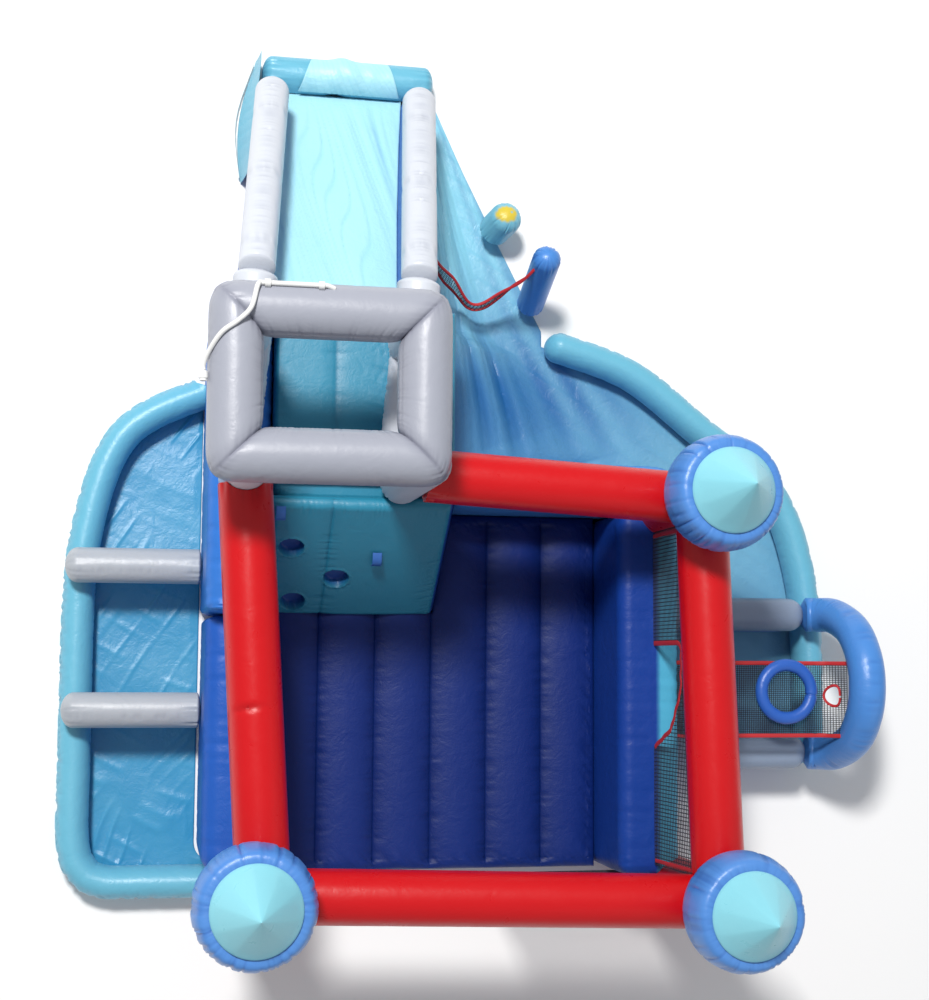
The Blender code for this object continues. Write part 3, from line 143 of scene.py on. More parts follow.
def slabMesh(name, upper, lower, uvs, fold=None):
    # two grids of points, face to face, joined round their edges
    rows, columns = upper.shape[:2]
    size = rows * columns
    index = np.arange(size).reshape(rows, columns)
    edge = np.concatenate([index[0, :-1], index[:-1, -1], index[-1, :0:-1], index[:0:-1, 0]])
    nextEdge = np.roll(edge, -1)
    sides = np.stack((edge, nextEdge, nextEdge + size, edge + size), -1)
    top = gridQuads(rows, columns)
    bottom = gridQuads(rows, columns, start=size)[:, ::-1]
    flatUvs = uvs.reshape(-1, 2)
    sideUvs = flatUvs[np.stack((edge, nextEdge, nextEdge, edge), -1)]
    topUvs = cellUvs(uvs)
    # the order top, sides, bottom keeps every shared edge running both ways
    quads = np.concatenate([top[:, ::-1], sides, bottom[:, ::-1]])
    quadUvs = np.concatenate([topUvs[:, ::-1], sideUvs, topUvs])
    points = np.concatenate([upper.reshape(-1, 3), lower.reshape(-1, 3)])
    shade = None if fold is None else np.concatenate([fold.ravel(), fold.ravel()])
    return writeMesh(name, points, quads, quadUvs, fold=shade)


def clothMesh(name, points, uvs, fold=None):
    # an open sheet; a Solidify on the piece gives it its thickness
    rows, columns = points.shape[:2]
    shade = None if fold is None else fold.ravel()
    return writeMesh(name, points.reshape(-1, 3), gridQuads(rows, columns), cellUvs(uvs), fold=shade, solid=False)


def addPiece(name, mesh, finish, nodes=(), body="root", sharp=50):
    # puts a mesh in the scene, gives it its finish, hides the frame's nodes that it stands for and hangs it on its
    # body
    mesh.materials.append(finish)
    if sharp:
        mesh.set_sharp_from_angle(angle=math.radians(sharp))
    piece = bpy.data.objects.new(name, mesh)
    bpy.context.scene.collection.objects.link(piece)
    nodes = (nodes,) if isinstance(nodes, str) else nodes
    if nodes:
        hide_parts(*nodes)
    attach(piece, body)
    return piece


def paintLiningAndShade(mesh, share):
    # writes, for every point, the share of the second colour: a sewn-in cloth on most pieces, painted shade and light
    # on the right pool sheet
    layer = mesh.attributes.new("liningAndShade", "FLOAT", "POINT")
    layer.data.foreach_set("value", np.ascontiguousarray(share, np.float32).ravel())
    return mesh


def thicken(piece, thickness, offset=0.0):
    wall = piece.modifiers.new("thickness", "SOLIDIFY")
    wall.thickness = thickness
    wall.offset = offset
    return piece


# lines, gathers and soft tubes

def smoothLine(points, steps=12):
    # Catmull-Rom: each stretch is a cubic through its two ends, leaning on their neighbours
    p = np.array(points, float)
    p = np.concatenate([[2 * p[0] - p[1]], p, [2 * p[-1] - p[-2]]])
    t = (np.arange(steps) / steps)[None, :, None]
    before, a, b, after = (x[:, None, :] for x in (p[:-3], p[1:-2], p[2:-1], p[3:]))
    curve = 0.5 * (2 * a + (b - before) * t + (2 * before - 5 * a + 4 * b - after) * t**2
                   + (3 * a - before - 3 * b + after) * t**3)
    return np.concatenate([curve.reshape(-1, p.shape[1]), p[-2:-1]])


def lineLength(line):
    return float(np.linalg.norm(np.diff(line, axis=0), axis=1).sum())


def placesOn(line, along):
    # places at these distances from the line's start
    reach = np.concatenate([[0], np.cumsum(np.linalg.norm(np.diff(line, axis=0), axis=1))])
    return np.stack([np.interp(along, reach, line[:, i]) for i in range(line.shape[1])], -1)


def waves(x, seed, pitch, count=8, spread=0.55):
    # a sum of sines whose lengths lie round the pitch, so the rhythm never quite repeats
    rng = np.random.default_rng(seed)
    rate = tau / pitch * rng.uniform(1 - spread, 1 + spread, count)
    phase = rng.uniform(0, tau, count)
    return np.sin(np.asarray(x)[..., None] * rate + phase).sum(-1) / math.sqrt(count)


def gathers(x, seed, pitch, narrow=1.5):
    # narrow creases with soft swellings between: (1 - narrow * |waves|) ** 1.4, from 0 on a swelling to 1 in a crease
    return np.clip(1 - np.abs(waves(x, seed, pitch)) * narrow, 0, 1) ** 1.4


def near(distance, width):
    return np.exp(-((distance / width) ** 2))


def angleFrom(a, seam):
    # distance round the tube from a seam's angle, in radians
    return np.abs((a - seam + math.pi) % tau - math.pi)


def stationsOf(length, step, starts=0.0, ends=0.0):
    # even steps, with closer ones where an end is domed
    even = np.linspace(0, length, max(4, int(length / step) + 1))
    arc = 1 - np.cos(np.linspace(0.12, math.pi / 2, 9))
    parts = [even]
    if starts:
        parts = [p[p > starts * 1.02] for p in parts] + [starts * arc]
    if ends:
        parts = [p[p < length - ends * 1.02] for p in parts] + [length - ends * arc]
    if not starts:
        parts.append([0.0])
    if not ends:
        parts.append([length])
    return np.unique(np.round(np.concatenate(parts), 6))


def domeShare(s, length, starts, ends):
    share = np.ones_like(s)
    if starts:
        share = share * np.sqrt(np.clip(1 - (1 - np.minimum(s / starts, 1)) ** 2, 0, 1))
    if ends:
        share = share * np.sqrt(np.clip(1 - (1 - np.minimum((length - s) / ends, 1)) ** 2, 0, 1))
    return share


def tubeRings(line, radius, reference, step=0.016, around=72, flatten=1.0, shape=None, domes=(0.0, 0.0)):
    # a circle carried along a line: centre + side * r cos a + up * r sin a, with r swollen or creased by shape(s, a)
    length = lineLength(line)
    s = stationsOf(length, step, *domes)
    centre = placesOn(line, s)
    ahead = placesOn(line, np.minimum(s + 0.01, length)) - placesOn(line, np.maximum(s - 0.01, 0))
    ahead = unit(ahead)
    side = unit(np.cross(np.array(reference, float), ahead))
    up = np.cross(ahead, side)
    a = turns(around)
    r = radius(s)[:, None] if callable(radius) else np.full((len(s), 1), radius)
    dent = shape(s[:, None], a[None, :], length) if shape else np.zeros((len(s), around))
    full = (r - dent) * domeShare(s, length, *domes)[:, None]
    cos, sin = np.cos(a)[None, :, None], np.sin(a)[None, :, None]
    rings = centre[:, None] + side[:, None] * cos * full[..., None] + up[:, None] * sin * full[..., None] * flatten
    wide = radius(length / 2) if callable(radius) else radius
    uvs = crossed(s[:, None], np.linspace(0, tau * float(wide), around + 1)[None, :])
    return rings, uvs, dent


def addTube(name, line, radius, reference, finish, nodes=(), body="root", **how):
    rings, uvs, dent = tubeRings(np.array(line, float), radius, reference, **how)
    return addPiece(name, shellMesh(name, rings, uvs, dent), finish, nodes, body)


def softBox(low, high, rounding, axis=1, step=0.02, crown=0.04, pinch=None, edgeStep=0.02, ends=None):
    # a box with rounded edges carried along one axis: every point is a core rectangle's edge plus the round's normal,
    # and the sides draw in towards the edges as air pushes their middles out
    low, high = np.array(low, float), np.array(high, float)
    others = [i for i in range(3) if i != axis]
    middle, half = (low + high) / 2, (high - low) / 2
    core = half[others] - rounding
    arc = np.linspace(0, math.pi / 2, 8)
    wide, tall = 2 * core
    flatW = np.linspace(0, 1, max(3, int(wide / edgeStep)))[1:-1] * 2 - 1
    flatT = np.linspace(0, 1, max(3, int(tall / edgeStep)))[1:-1] * 2 - 1
    corner, normal = [], []
    for k, (sx, sz) in enumerate(((1, 1), (-1, 1), (-1, -1), (1, -1))):
        turn = arc + k * math.pi / 2
        corner.append(np.repeat([[sx * core[0], sz * core[1]]], len(arc), 0))
        normal.append(np.stack((np.cos(turn), np.sin(turn)), -1))
        along = (-flatW * core[0], -flatT * core[1], flatW * core[0], flatT * core[1])[k]
        fixed = (core[1], -core[0], -core[1], core[0])[k]
        fixed = np.full(len(along), fixed)
        line = np.stack((along, fixed) if k % 2 == 0 else (fixed, along), -1)
        corner.append(line)
        normal.append(np.repeat([[(0, 1), (-1, 0), (0, -1), (1, 0)][k]], len(line), 0).astype(float))
    corner, normal = np.concatenate(corner), np.concatenate(normal)
    length = 2 * half[axis]
    ends = ends or (rounding, rounding)
    s = stationsOf(length, step, *ends)
    ring = domeShare(s, length, *ends)
    rings = corner[None] + normal[None] * rounding * ring[:, None, None]
    shrink = np.array([0.25, 0.5, 0.75, 0.92])[:, None, None] * corner[None]
    rings = np.concatenate([shrink, rings, shrink[::-1]])
    s = np.concatenate([np.zeros(4), s, np.full(4, length)])
    place = np.zeros((*rings.shape[:2], 3))
    place[..., others[0]], place[..., others[1]] = rings[..., 0], rings[..., 1]
    place[..., axis] = (s - length / 2)[:, None]
    share = place / half
    if crown:  # the sides bow: a side's middle keeps its place and its edges draw in
        for i, j, k in ((0, 1, 2), (1, 0, 2), (2, 0, 1)):
            draw = 1 - crown * (np.abs(share[..., j]) ** 3 + np.abs(share[..., k]) ** 3) / 2
            place[..., i] *= draw
    if pinch is not None:
        place = pinch(place, share, half)
    outside = corner + normal * rounding
    sides = np.linalg.norm(np.roll(outside, -1, axis=0) - outside, axis=1)
    around = np.concatenate([[0], np.cumsum(sides)])
    uvs = crossed(s[:, None], around[None, :])
    return place + middle, uvs


# finishes

class Tone:  # a socket of a material; sums on it add Math nodes
    def __init__(self, cloth, out):
        self.cloth, self.out = cloth, out

    def sums(self, operation, a, b=None):
        return self.cloth.make("ShaderNodeMath", {"operation": operation}, {0: a} if b is None else {0: a, 1: b})

    def __add__(self, other): return self.sums("ADD", self, other)
    def __radd__(self, other): return self.sums("ADD", other, self)
    def __sub__(self, other): return self.sums("SUBTRACT", self, other)
    def __rsub__(self, other): return self.sums("SUBTRACT", other, self)
    def __mul__(self, other): return self.sums("MULTIPLY", self, other)
    def __rmul__(self, other): return self.sums("MULTIPLY", other, self)
    def __truediv__(self, other): return self.sums("DIVIDE", self, other)
    def __pow__(self, other): return self.sums("POWER", self, other)
    def held(self): return self.cloth.make("ShaderNodeClamp", {}, {"Value": self})


class Cloth:  # one material and the way its nodes are added
    def __init__(self, name):
        self.material = bpy.data.materials.new(name)
        self.material.use_nodes = True
        self.tree = self.material.node_tree
        self.shader = self.tree.nodes["Principled BSDF"]

    def make(self, kind, settings, sockets, output=0):
        node = self.tree.nodes.new(kind)
        for key, value in settings.items():
            if key == "stops":  # a ramp's places and colours
                for i, (place, colour) in enumerate(value):
                    stop = node.color_ramp.elements[i] if i < 2 else node.color_ramp.elements.new(place)
                    stop.position, stop.color = place, colour
            else:
                setattr(node, key, value)
        for key, value in sockets.items():
            if isinstance(value, Tone):
                self.tree.links.new(value.out, node.inputs[key])
            else:
                node.inputs[key].default_value = value
        return Tone(self, node.outputs[output])

    def feed(self, key, value):
        if isinstance(value, Tone):
            self.tree.links.new(value.out, self.shader.inputs[key])
        else:
            self.shader.inputs[key].default_value = value

    def colours(self, share, first, second, blend="MIX"):  # two colours mixed by a share
        first = first if isinstance(first, Tone) else (*first, 1)
        second = second if isinstance(second, Tone) else (*second, 1)
        settings = {"data_type": "RGBA", "blend_type": blend}
        return self.make("ShaderNodeMix", settings, {0: share, 6: first, 7: second}, 2)

    def here(self):  # places in the object's own space
        return self.make("ShaderNodeTexCoord", {}, {}, "Object")

    def flat(self):  # places on the unrolled cloth
        return self.make("ShaderNodeUVMap", {"uv_map": "cloth"}, {})

    def written(self, name):  # a value that the mesh carries at each point
        return self.make("ShaderNodeAttribute", {"attribute_name": name}, {}, "Fac")

    def bands(self, place, direction, scale):
        settings = {"wave_type": "BANDS", "bands_direction": direction}
        return self.make("ShaderNodeTexWave", settings, {"Vector": place, "Scale": scale})

    def raised(self, height, strength):  # height in metres, felt as a bump
        sockets = {"Strength": strength, "Distance": 1.0, "Height": height}
        self.feed("Normal", self.make("ShaderNodeBump", {}, sockets))

    def noise(self, place, scale, detail=3.0, rough=0.55, warp=0.0):
        sockets = {"Vector": place, "Scale": scale, "Detail": detail, "Roughness": rough, "Distortion": warp}
        return self.make("ShaderNodeTexNoise", {}, sockets)


def coatedFabric(name, colour, pale, deep, rough=0.36, crumple=1.0, worn=0.25, weave=1.0, shine=0.5, inlayAndShade=None):
    # woven cloth with a plastic coat: broad fading, small crumples, a fine weave, and painted shade darkening its
    # creases
    cloth = Cloth(name)
    here = cloth.here()
    flat = cloth.flat()
    crease = (cloth.written("fold") * 90.0).held()
    broad = cloth.noise(here, 1.7, 2.0)
    small = cloth.noise(here, 9.0, 4.0, 0.6, 0.6)
    tint = ((broad - 0.5) * 1.6 + (small - 0.5) * 0.5 + 0.5).held()
    body = cloth.colours(tint * worn, colour, pale)
    # painted shade: the deeper the fold attribute's crease, the more of the deep colour
    body = cloth.colours(crease * 0.5, body, deep)
    if inlayAndShade:  # a second colour where the piece's liningAndShade attribute says so: a sewn-in cloth on most pieces, painted shade and light on the right pool sheet
        body = cloth.colours(cloth.written("liningAndShade").held(), body, inlayAndShade)
    warp = cloth.bands(flat, "X", 160.0)
    weft = cloth.bands(flat, "Y", 160.0)
    fibres = warp * weft
    ridges = cloth.noise(here, 26.0, 3.0, 0.6, 1.4)
    height = small * (0.006 * crumple) + ridges * (0.0016 * crumple) + fibres * (0.00012 * weave)
    cloth.feed("Base Color", cloth.colours(0.06 * weave, body, cloth.colours(fibres, deep, pale)))
    cloth.feed("Roughness", (small - 0.5) * 0.16 + rough)
    cloth.raised(height, 0.8)
    cloth.feed("Specular IOR Level", shine)
    return cloth.material


def meshCord(name, colour, pale):
    # knotted cord: dull, with a light twist
    cloth = Cloth(name)
    here = cloth.here()
    twist = cloth.noise(here, 180.0, 2.0)
    cloth.feed("Base Color", cloth.colours(twist, colour, pale))
    cloth.feed("Roughness", twist * 0.2 + 0.6)
    cloth.raised(twist * 0.0006, 0.6)
    return cloth.material


def webbing(name, colour, pale):
    # ribbed tape: narrow ribs along it
    cloth = Cloth(name)
    flat = cloth.flat()
    here = cloth.here()
    ribs = cloth.bands(flat, "DIAGONAL", 90.0)
    faded = cloth.noise(here, 14.0, 3.0)
    cloth.feed("Base Color", cloth.colours((ribs * 0.35 + faded * 0.5).held(), colour, pale))
    cloth.feed("Roughness", faded * 0.2 + 0.55)
    cloth.raised(ribs * 0.0005, 0.7)
    return cloth.material


def moulded(name, colour, pale, rough=0.4):
    # moulded plastic: faint mottling and fine grain
    cloth = Cloth(name)
    here = cloth.here()
    mottle = cloth.noise(here, 30.0, 3.0)
    grain = cloth.noise(here, 400.0, 2.0)
    cloth.feed("Base Color", cloth.colours(mottle, colour, pale))
    cloth.feed("Roughness", mottle * 0.15 + (rough - 0.07))
    cloth.raised(grain * 0.0002, 0.5)
    return cloth.material


floorBlue = coatedFabric("floorBlue", (0.004, 0.021, 0.165), (0.007, 0.032, 0.215), (0.002, 0.010, 0.075), 0.46,
    shine=0.25)
wallBlue = coatedFabric("wallBlue", (0.011, 0.090, 0.440), (0.026, 0.140, 0.540), (0.005, 0.042, 0.240), 0.42,
    shine=0.3)
sideBlue = coatedFabric("sideBlue", (0.006, 0.040, 0.270), (0.014, 0.080, 0.400), (0.003, 0.016, 0.120), 0.42,
    shine=0.25, inlayAndShade=(0.075, 0.400, 0.600))
capBlue = coatedFabric("capBlue", (0.062, 0.220, 0.610), (0.150, 0.350, 0.700), (0.020, 0.085, 0.370), 0.32, 0.5, 0.4)
beamRed = coatedFabric("beamRed", (0.560, 0.003, 0.006), (0.650, 0.006, 0.010), (0.260, 0.001, 0.003), 0.30, 0.4,
    shine=0.4)
climbAqua = coatedFabric("climbAqua", (0.022, 0.235, 0.370), (0.034, 0.300, 0.450), (0.008, 0.105, 0.200), 0.42, 0.7,
    inlayAndShade=(0.010, 0.062, 0.330))
poolAqua = coatedFabric("poolAqua", (0.024, 0.270, 0.510), (0.160, 0.520, 0.700), (0.010, 0.170, 0.350), 0.34, 1.0,
    0.5)
rimAqua = coatedFabric("rimAqua", (0.140, 0.460, 0.620), (0.200, 0.540, 0.680), (0.045, 0.250, 0.420), 0.34)
bedAqua = coatedFabric("bedAqua", (0.380, 0.730, 0.830), (0.540, 0.830, 0.890), (0.170, 0.520, 0.680), 0.40, 1.4)
coneAqua = coatedFabric("coneAqua", (0.240, 0.620, 0.720), (0.310, 0.690, 0.770), (0.100, 0.400, 0.500), 0.30, 0.3)
# sheetAqua's dark blue second colour is painted shade, laid on the pool sheet by its liningAndShade share
sheetAqua = coatedFabric("sheetAqua", (0.260, 0.620, 0.760), (0.330, 0.690, 0.810), (0.100, 0.360, 0.560), 0.36, 1.4,
    inlayAndShade=(0.006, 0.105, 0.330))
frameGrey = coatedFabric("frameGrey", (0.330, 0.345, 0.405), (0.385, 0.400, 0.455), (0.170, 0.175, 0.235), 0.34, 0.5)
railWhite = coatedFabric("railWhite", (0.600, 0.630, 0.690), (0.690, 0.715, 0.760), (0.310, 0.340, 0.430), 0.34, 0.7)
barGrey = coatedFabric("barGrey", (0.400, 0.430, 0.470), (0.480, 0.510, 0.545), (0.230, 0.255, 0.310), 0.36, 0.7)
# the goal bars' white cloth darkened and blued as painted shade; its second colour is the real blue cloth under the
# bars
goalShadedGrey = coatedFabric("goalShadedGrey", (0.250, 0.320, 0.440), (0.310, 0.380, 0.500), (0.120, 0.160, 0.260), 0.36, 0.7,
    inlayAndShade=(0.045, 0.160, 0.520))
archBlue = coatedFabric("archBlue", (0.065, 0.240, 0.640), (0.100, 0.320, 0.720), (0.022, 0.100, 0.400), 0.32, 0.7)
ringBlue = coatedFabric("ringBlue", (0.022, 0.110, 0.480), (0.036, 0.150, 0.560), (0.010, 0.050, 0.280), 0.34, 0.7)
# a lighter copy of wallBlue: painted light on the tower's left wall, which the canopy shades
litBulgeBlue = coatedFabric("litBulgeBlue", (0.026, 0.165, 0.580), (0.060, 0.240, 0.680), (0.010, 0.070, 0.320), 0.40,
    shine=0.3)
patchYellow = (0.720, 0.540, 0.020)
backBlue = coatedFabric("backBlue", (0.060, 0.260, 0.660), (0.100, 0.330, 0.720), (0.020, 0.110, 0.400), 0.42,
    shine=0.3, inlayAndShade=patchYellow)
stubAqua = coatedFabric("stubAqua", (0.190, 0.520, 0.650), (0.260, 0.600, 0.710), (0.060, 0.290, 0.450), 0.34,
    inlayAndShade=patchYellow)
netBlack = meshCord("netBlack", (0.010, 0.010, 0.014), (0.035, 0.035, 0.045))
tapeRed = webbing("tapeRed", (0.420, 0.010, 0.016), (0.620, 0.030, 0.036))
tapeBlue = webbing("tapeBlue", (0.020, 0.110, 0.420), (0.050, 0.190, 0.560))
hoseWhite = moulded("hoseWhite", (0.720, 0.720, 0.700), (0.800, 0.800, 0.790))
print("stage: finishes ready")


# camera, light and ground

view = {"place": (-1.6132, 0.1635, 9.5), "turn": (5.7463, -11.1338, 0.3622), "lens": 57.24}
camera = bpy.data.objects.new("photoCamera", bpy.data.cameras.new("photoCamera"))
camera.location = view["place"]
camera.rotation_euler = [math.radians(angle) for angle in view["turn"]]
camera.data.lens = view["lens"]
camera.data.sensor_width = 36
camera.data.clip_end = 200
bpy.context.scene.collection.objects.link(camera)
bpy.context.scene.camera = camera

studio = {
    "key": {"place": (-4.4, 7.6, 15.9), "aim": (0.2, 0.9, 0.4), "size": 2.4, "power": 3100,
        "tone": (1.0, 0.985, 0.96)},
    "fill": {"place": (7.0, -5.0, 6.0), "aim": (0.2, 0.9, 0.4), "size": 7.0, "power": 60, "tone": (0.94, 0.97, 1.0)},
}
for name, lamp in studio.items():
    light = bpy.data.objects.new(name + "Light", bpy.data.lights.new(name + "Light", "AREA"))
    light.data.size = lamp["size"]
    light.data.energy = lamp["power"]
    light.data.color = lamp["tone"]
    place = np.array(lamp["place"])
    back = unit(place - np.array(lamp["aim"]))
    side = unit(np.cross((0, 0, 1), back))
    up = np.cross(back, side)
    light.matrix_world = Matrix(np.vstack((np.column_stack((side, up, back, place)), (0, 0, 0, 1))).tolist())
    bpy.context.scene.collection.objects.link(light)
world = bpy.data.worlds.new("studioAir")
world.use_nodes = True
world.node_tree.nodes["Background"].inputs["Color"].default_value = (0.93, 0.96, 1.0, 1)
world.node_tree.nodes["Background"].inputs["Strength"].default_value = 0.40
bpy.context.scene.world = world
bpy.context.scene.view_settings.view_transform = "Standard"

ground = bpy.data.meshes.new("studioFloor")
ground.from_pydata([(-40, -40, -0.002), (40, -40, -0.002), (40, 40, -0.002), (-40, 40, -0.002)], [], [(0, 1, 2, 3)])
groundObject = bpy.data.objects.new("studioFloor", ground)
bpy.context.scene.collection.objects.link(groundObject)
paper = Cloth("studioPaper")
paper.feed("Base Color", (0.9, 0.9, 0.9, 1))
paper.feed("Roughness", 0.9)
ground.materials.append(paper.material)
print("stage: camera, light and ground")


# castle: floor, walls, columns, beams

gap = 0.0006


def titled(spot):  # front_left becomes frontLeft
    first, second = spot.split("_")
    return first + second.title()


columnSpots = {"front_left": (-1.095, -0.9995), "front_right": (1.3545, -1.0805), "back_right": (1.2705, 1.04)}

mattress = {
    "channels": 6, "groove": 0.035, "round": 0.06, "cell": 0.012, "cellAlong": 0.014, "gather": 0.006,
    "gatherPitch": 0.05, "hem": 0.05, "hemPitch": 0.06, "fill": 0.9,
}


def bounceFloor(m):
    # the top falls to a seam between channels as 1 - |sin|^0.6 and rounds off at the edge; the underside is flat
    low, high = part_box("bounce_floor")
    wide, deep = high[0] - low[0], high[1] - low[1]
    edge = m["round"] * (1 - np.cos(np.linspace(0, math.pi / 2, 9)))
    x = np.linspace(0, wide, int(wide / m["cell"]))
    pitch = wide / m["channels"]
    seams = np.arange(1, m["channels"]) * pitch
    x = np.unique(np.round(np.concatenate([x, edge, wide - edge, seams, seams - 0.004, seams + 0.004]), 5))
    y = np.unique(np.round(np.concatenate([np.linspace(0, deep, int(deep / m["cellAlong"])), edge, deep - edge]), 5))
    gx, gy = spread(x, y)
    inset = np.minimum(np.minimum(gx, wide - gx), np.minimum(gy, deep - gy))
    held = np.minimum(inset, m["round"])
    drop = m["round"] - np.sqrt(m["round"] ** 2 - (m["round"] - held) ** 2)
    share = gx / pitch
    sag = m["groove"] * (1 - np.abs(np.sin(math.pi * share)) ** 0.6) * np.clip(inset / m["round"], 0, 1)
    toSeam = np.abs(share - np.round(share)) * pitch
    crease = m["gather"] * near(toSeam, 0.05) * gathers(gy + 7 * np.round(share), 3, m["gatherPitch"])
    crease = crease + m["gather"] * near(inset - m["hem"], m["hem"]) * gathers(gx + gy, 4, m["hemPitch"])
    fold = crease * np.clip(inset / 0.03, 0, 1)
    z = high[2] - drop - sag - fold
    upper = np.stack((gx + low[0], gy + low[1], z), -1)
    lower = np.stack((gx + low[0], gy + low[1], np.full_like(gx, low[2])), -1)
    # part of the channel sag goes into the fold attribute: painted shade in the grooves between channels
    mesh = slabMesh("bounceFloor", upper, lower, np.stack((gx, gy), -1), fold + sag * 0.35)
    return addPiece("bounceFloor", mesh, floorBlue, "bounce_floor")


bounceFloor(mattress)

castleWalls = {
    "left_wall": {
        "name": "leftWall", "finish": wallBlue, "round": 0.10, "axis": 1, "pucker": 0.006, "ends": (0.10, 0.03)},
    "right_wall": {"name": "rightWall", "finish": sideBlue, "round": 0.07, "axis": 1, "pucker": 0.004},
    "back_wall": {"name": "backWall", "finish": backBlue, "round": 0.10, "axis": 0, "pucker": 0.006},
    "tower_left_wall": {
        "name": "towerLeftWall", "finish": litBulgeBlue, "round": 0.10, "axis": 1, "pucker": 0.008,
        "ends": (0.03, 0.10)},
}
wallLining = 1.215  # the right wall is lined with aqua cloth on its pool side, past this x
backPatch = {"x": 0.35, "y": 1.30, "radius": 0.10, "above": 0.7}
wallShape = {"crown": 0.02, "edgeStep": 0.014, "ground": 0.001, "fill": 0.9}


def puckered(axis, seed, depth, pitch=0.06, reach=0.3, endReach=0.09, endPitch=0.05, narrow=2.2):
    # creases that run in from the seams along the block's top edges and from its ends, and fade down its sides
    def pinch(place, share, half):
        along = place[..., axis]
        top = near(1 - share[..., 2], reach) + near(1 + share[..., 2], reach)
        end = near((1 - np.abs(share[..., axis])) * half[axis], endReach)
        sideways = 3 * np.sign(share[..., 1 - axis])  # the two sides gather each in its own way
        dent = depth * gathers(along + sideways, seed, pitch, narrow) * np.clip(top, 0, 1)
        dent = dent + depth * gathers(place[..., 2] + 0.6 * along, seed + 5, endPitch, narrow) * end
        inward = 1 - dent[..., None] / half
        keep = np.ones(3)
        keep[axis] = 0
        return place * (inward * keep + (1 - keep))
    return pinch


for seed, (node, wall) in enumerate(castleWalls.items()):
    low, high = cornersOf(node)
    low[2] -= wall["round"]  # the round foot is pressed flat on the ground
    pinch = puckered(wall["axis"], seed + 11, wall["pucker"])
    rings, uvs = softBox(low, high, wall["round"], wall["axis"], crown=wallShape["crown"], pinch=pinch,
                         edgeStep=wallShape["edgeStep"], ends=wall.get("ends"))
    rings[..., 2] = np.maximum(rings[..., 2], wallShape["ground"])
    mesh = shellMesh(wall["name"], rings, uvs)
    places = np.empty(len(mesh.vertices) * 3, np.float32)
    mesh.vertices.foreach_get("co", places)
    x, y, z = places.reshape(-1, 3).T
    if node == "back_wall":
        inDisc = np.hypot(x - backPatch["x"], y - backPatch["y"]) / backPatch["radius"]
        paintLiningAndShade(mesh, np.clip((1 - inDisc) * 12, 0, 1) * (z > backPatch["above"]))
    if node == "right_wall":
        paintLiningAndShade(mesh, np.clip((x - wallLining) * 60, 0, 1))
    addPiece(wall["name"], mesh, wall["finish"], node)

column = {
    "radius": 0.15, "top": 1.54, "seam": 0.004, "seamsAt": (0.3, 1.87, 3.44, 5.01), "seamWide": 0.10, "pitch": 0.09,
    "endGather": 0.008, "footReach": 0.10, "headReach": 0.12, "endPitch": 0.05,
}
for seed, (spot, (x, y)) in enumerate(columnSpots.items()):
    def panels(s, a, length, seed=seed):
        # four sewn seams down its length, each a shallow valley with small gathers
        valley = sum(near(angleFrom(a, turn), column["seamWide"]) for turn in column["seamsAt"])
        creased = gathers(s + a, seed + 31, column["pitch"])
        ends = near(s, column["footReach"]) + near(length - s, column["headReach"])
        endFolds = column["endGather"] * ends * gathers(a * column["radius"], seed + 3, column["endPitch"])
        return column["seam"] * valley * (0.5 + creased) + endFolds
    addTube(titled(spot) + "Column", [(x, y, 0.001), (x, y, column["top"])], column["radius"], (0, 1, 0), beamRed,
            spot + "_column", domes=(0.07, 0.05), shape=panels, step=0.02)


def cutTube(name, start, end, radius, begin, finish, cloth, nodes, shape=None, around=72, step=0.02):
    # a round tube whose two ends follow what they meet: begin and finish give, for a place across and up the section,
    # how far along from each end point the skin starts; the ends are closed in rings of shrinking size
    start, end = np.array(start, float), np.array(end, float)
    length = float(np.linalg.norm(end - start))
    ahead = (end - start) / length
    side = unit(np.cross((0, 0, 1.0), ahead)) if abs(ahead[2]) < 0.9 else np.array((1.0, 0, 0))
    up = np.cross(ahead, side)
    t = np.linspace(0, 1, max(8, int(length / step)))
    lid = np.array([0.02, 0.3, 0.6, 0.85])
    k = np.concatenate([lid, np.ones(len(t)), lid[::-1]])
    t = np.concatenate([np.zeros(4), t, np.ones(4)])
    a = turns(around)
    dent = shape((t * length)[:, None], a[None], length) if shape else np.zeros((len(t), around))
    r = (radius - dent) * k[:, None]
    across, over = r * np.cos(a), r * np.sin(a)
    first, last = begin(across, over), finish(across, over)
    along = first + (length - first - last) * t[:, None]
    rings = start + ahead * along[..., None] + side * across[..., None] + up * over[..., None]
    uvs = crossed((t * length)[:, None], np.linspace(0, tau * radius, around + 1)[None])
    return addPiece(name, shellMesh(name, rings, uvs, dent * k[:, None]), cloth, nodes)


def halfChord(radius, off):  # sqrt(r2 - off2), nothing past the radius
    return np.sqrt(np.clip(radius**2 - off**2, 0, None))


def against(radius, corner=0, rest=0.0):
    # the side of a column: along = sqrt(r2 - across2), at least rest; at a corner two beams part on the diagonal
    def reach(across, over):
        curve = np.maximum(halfChord(radius + gap, across), rest)
        return np.maximum(curve, corner * across + gap) if corner else curve
    return reach


def besideColumn(across, over):
    # the left beam meets its column off its middle: the same curve, moved aside, and clear of the front beam
    aside = across + 0.065
    curve = halfChord(column["radius"] + gap, aside)
    return np.maximum(curve, halfChord(0.14 + gap, over) * (across > 0.0))


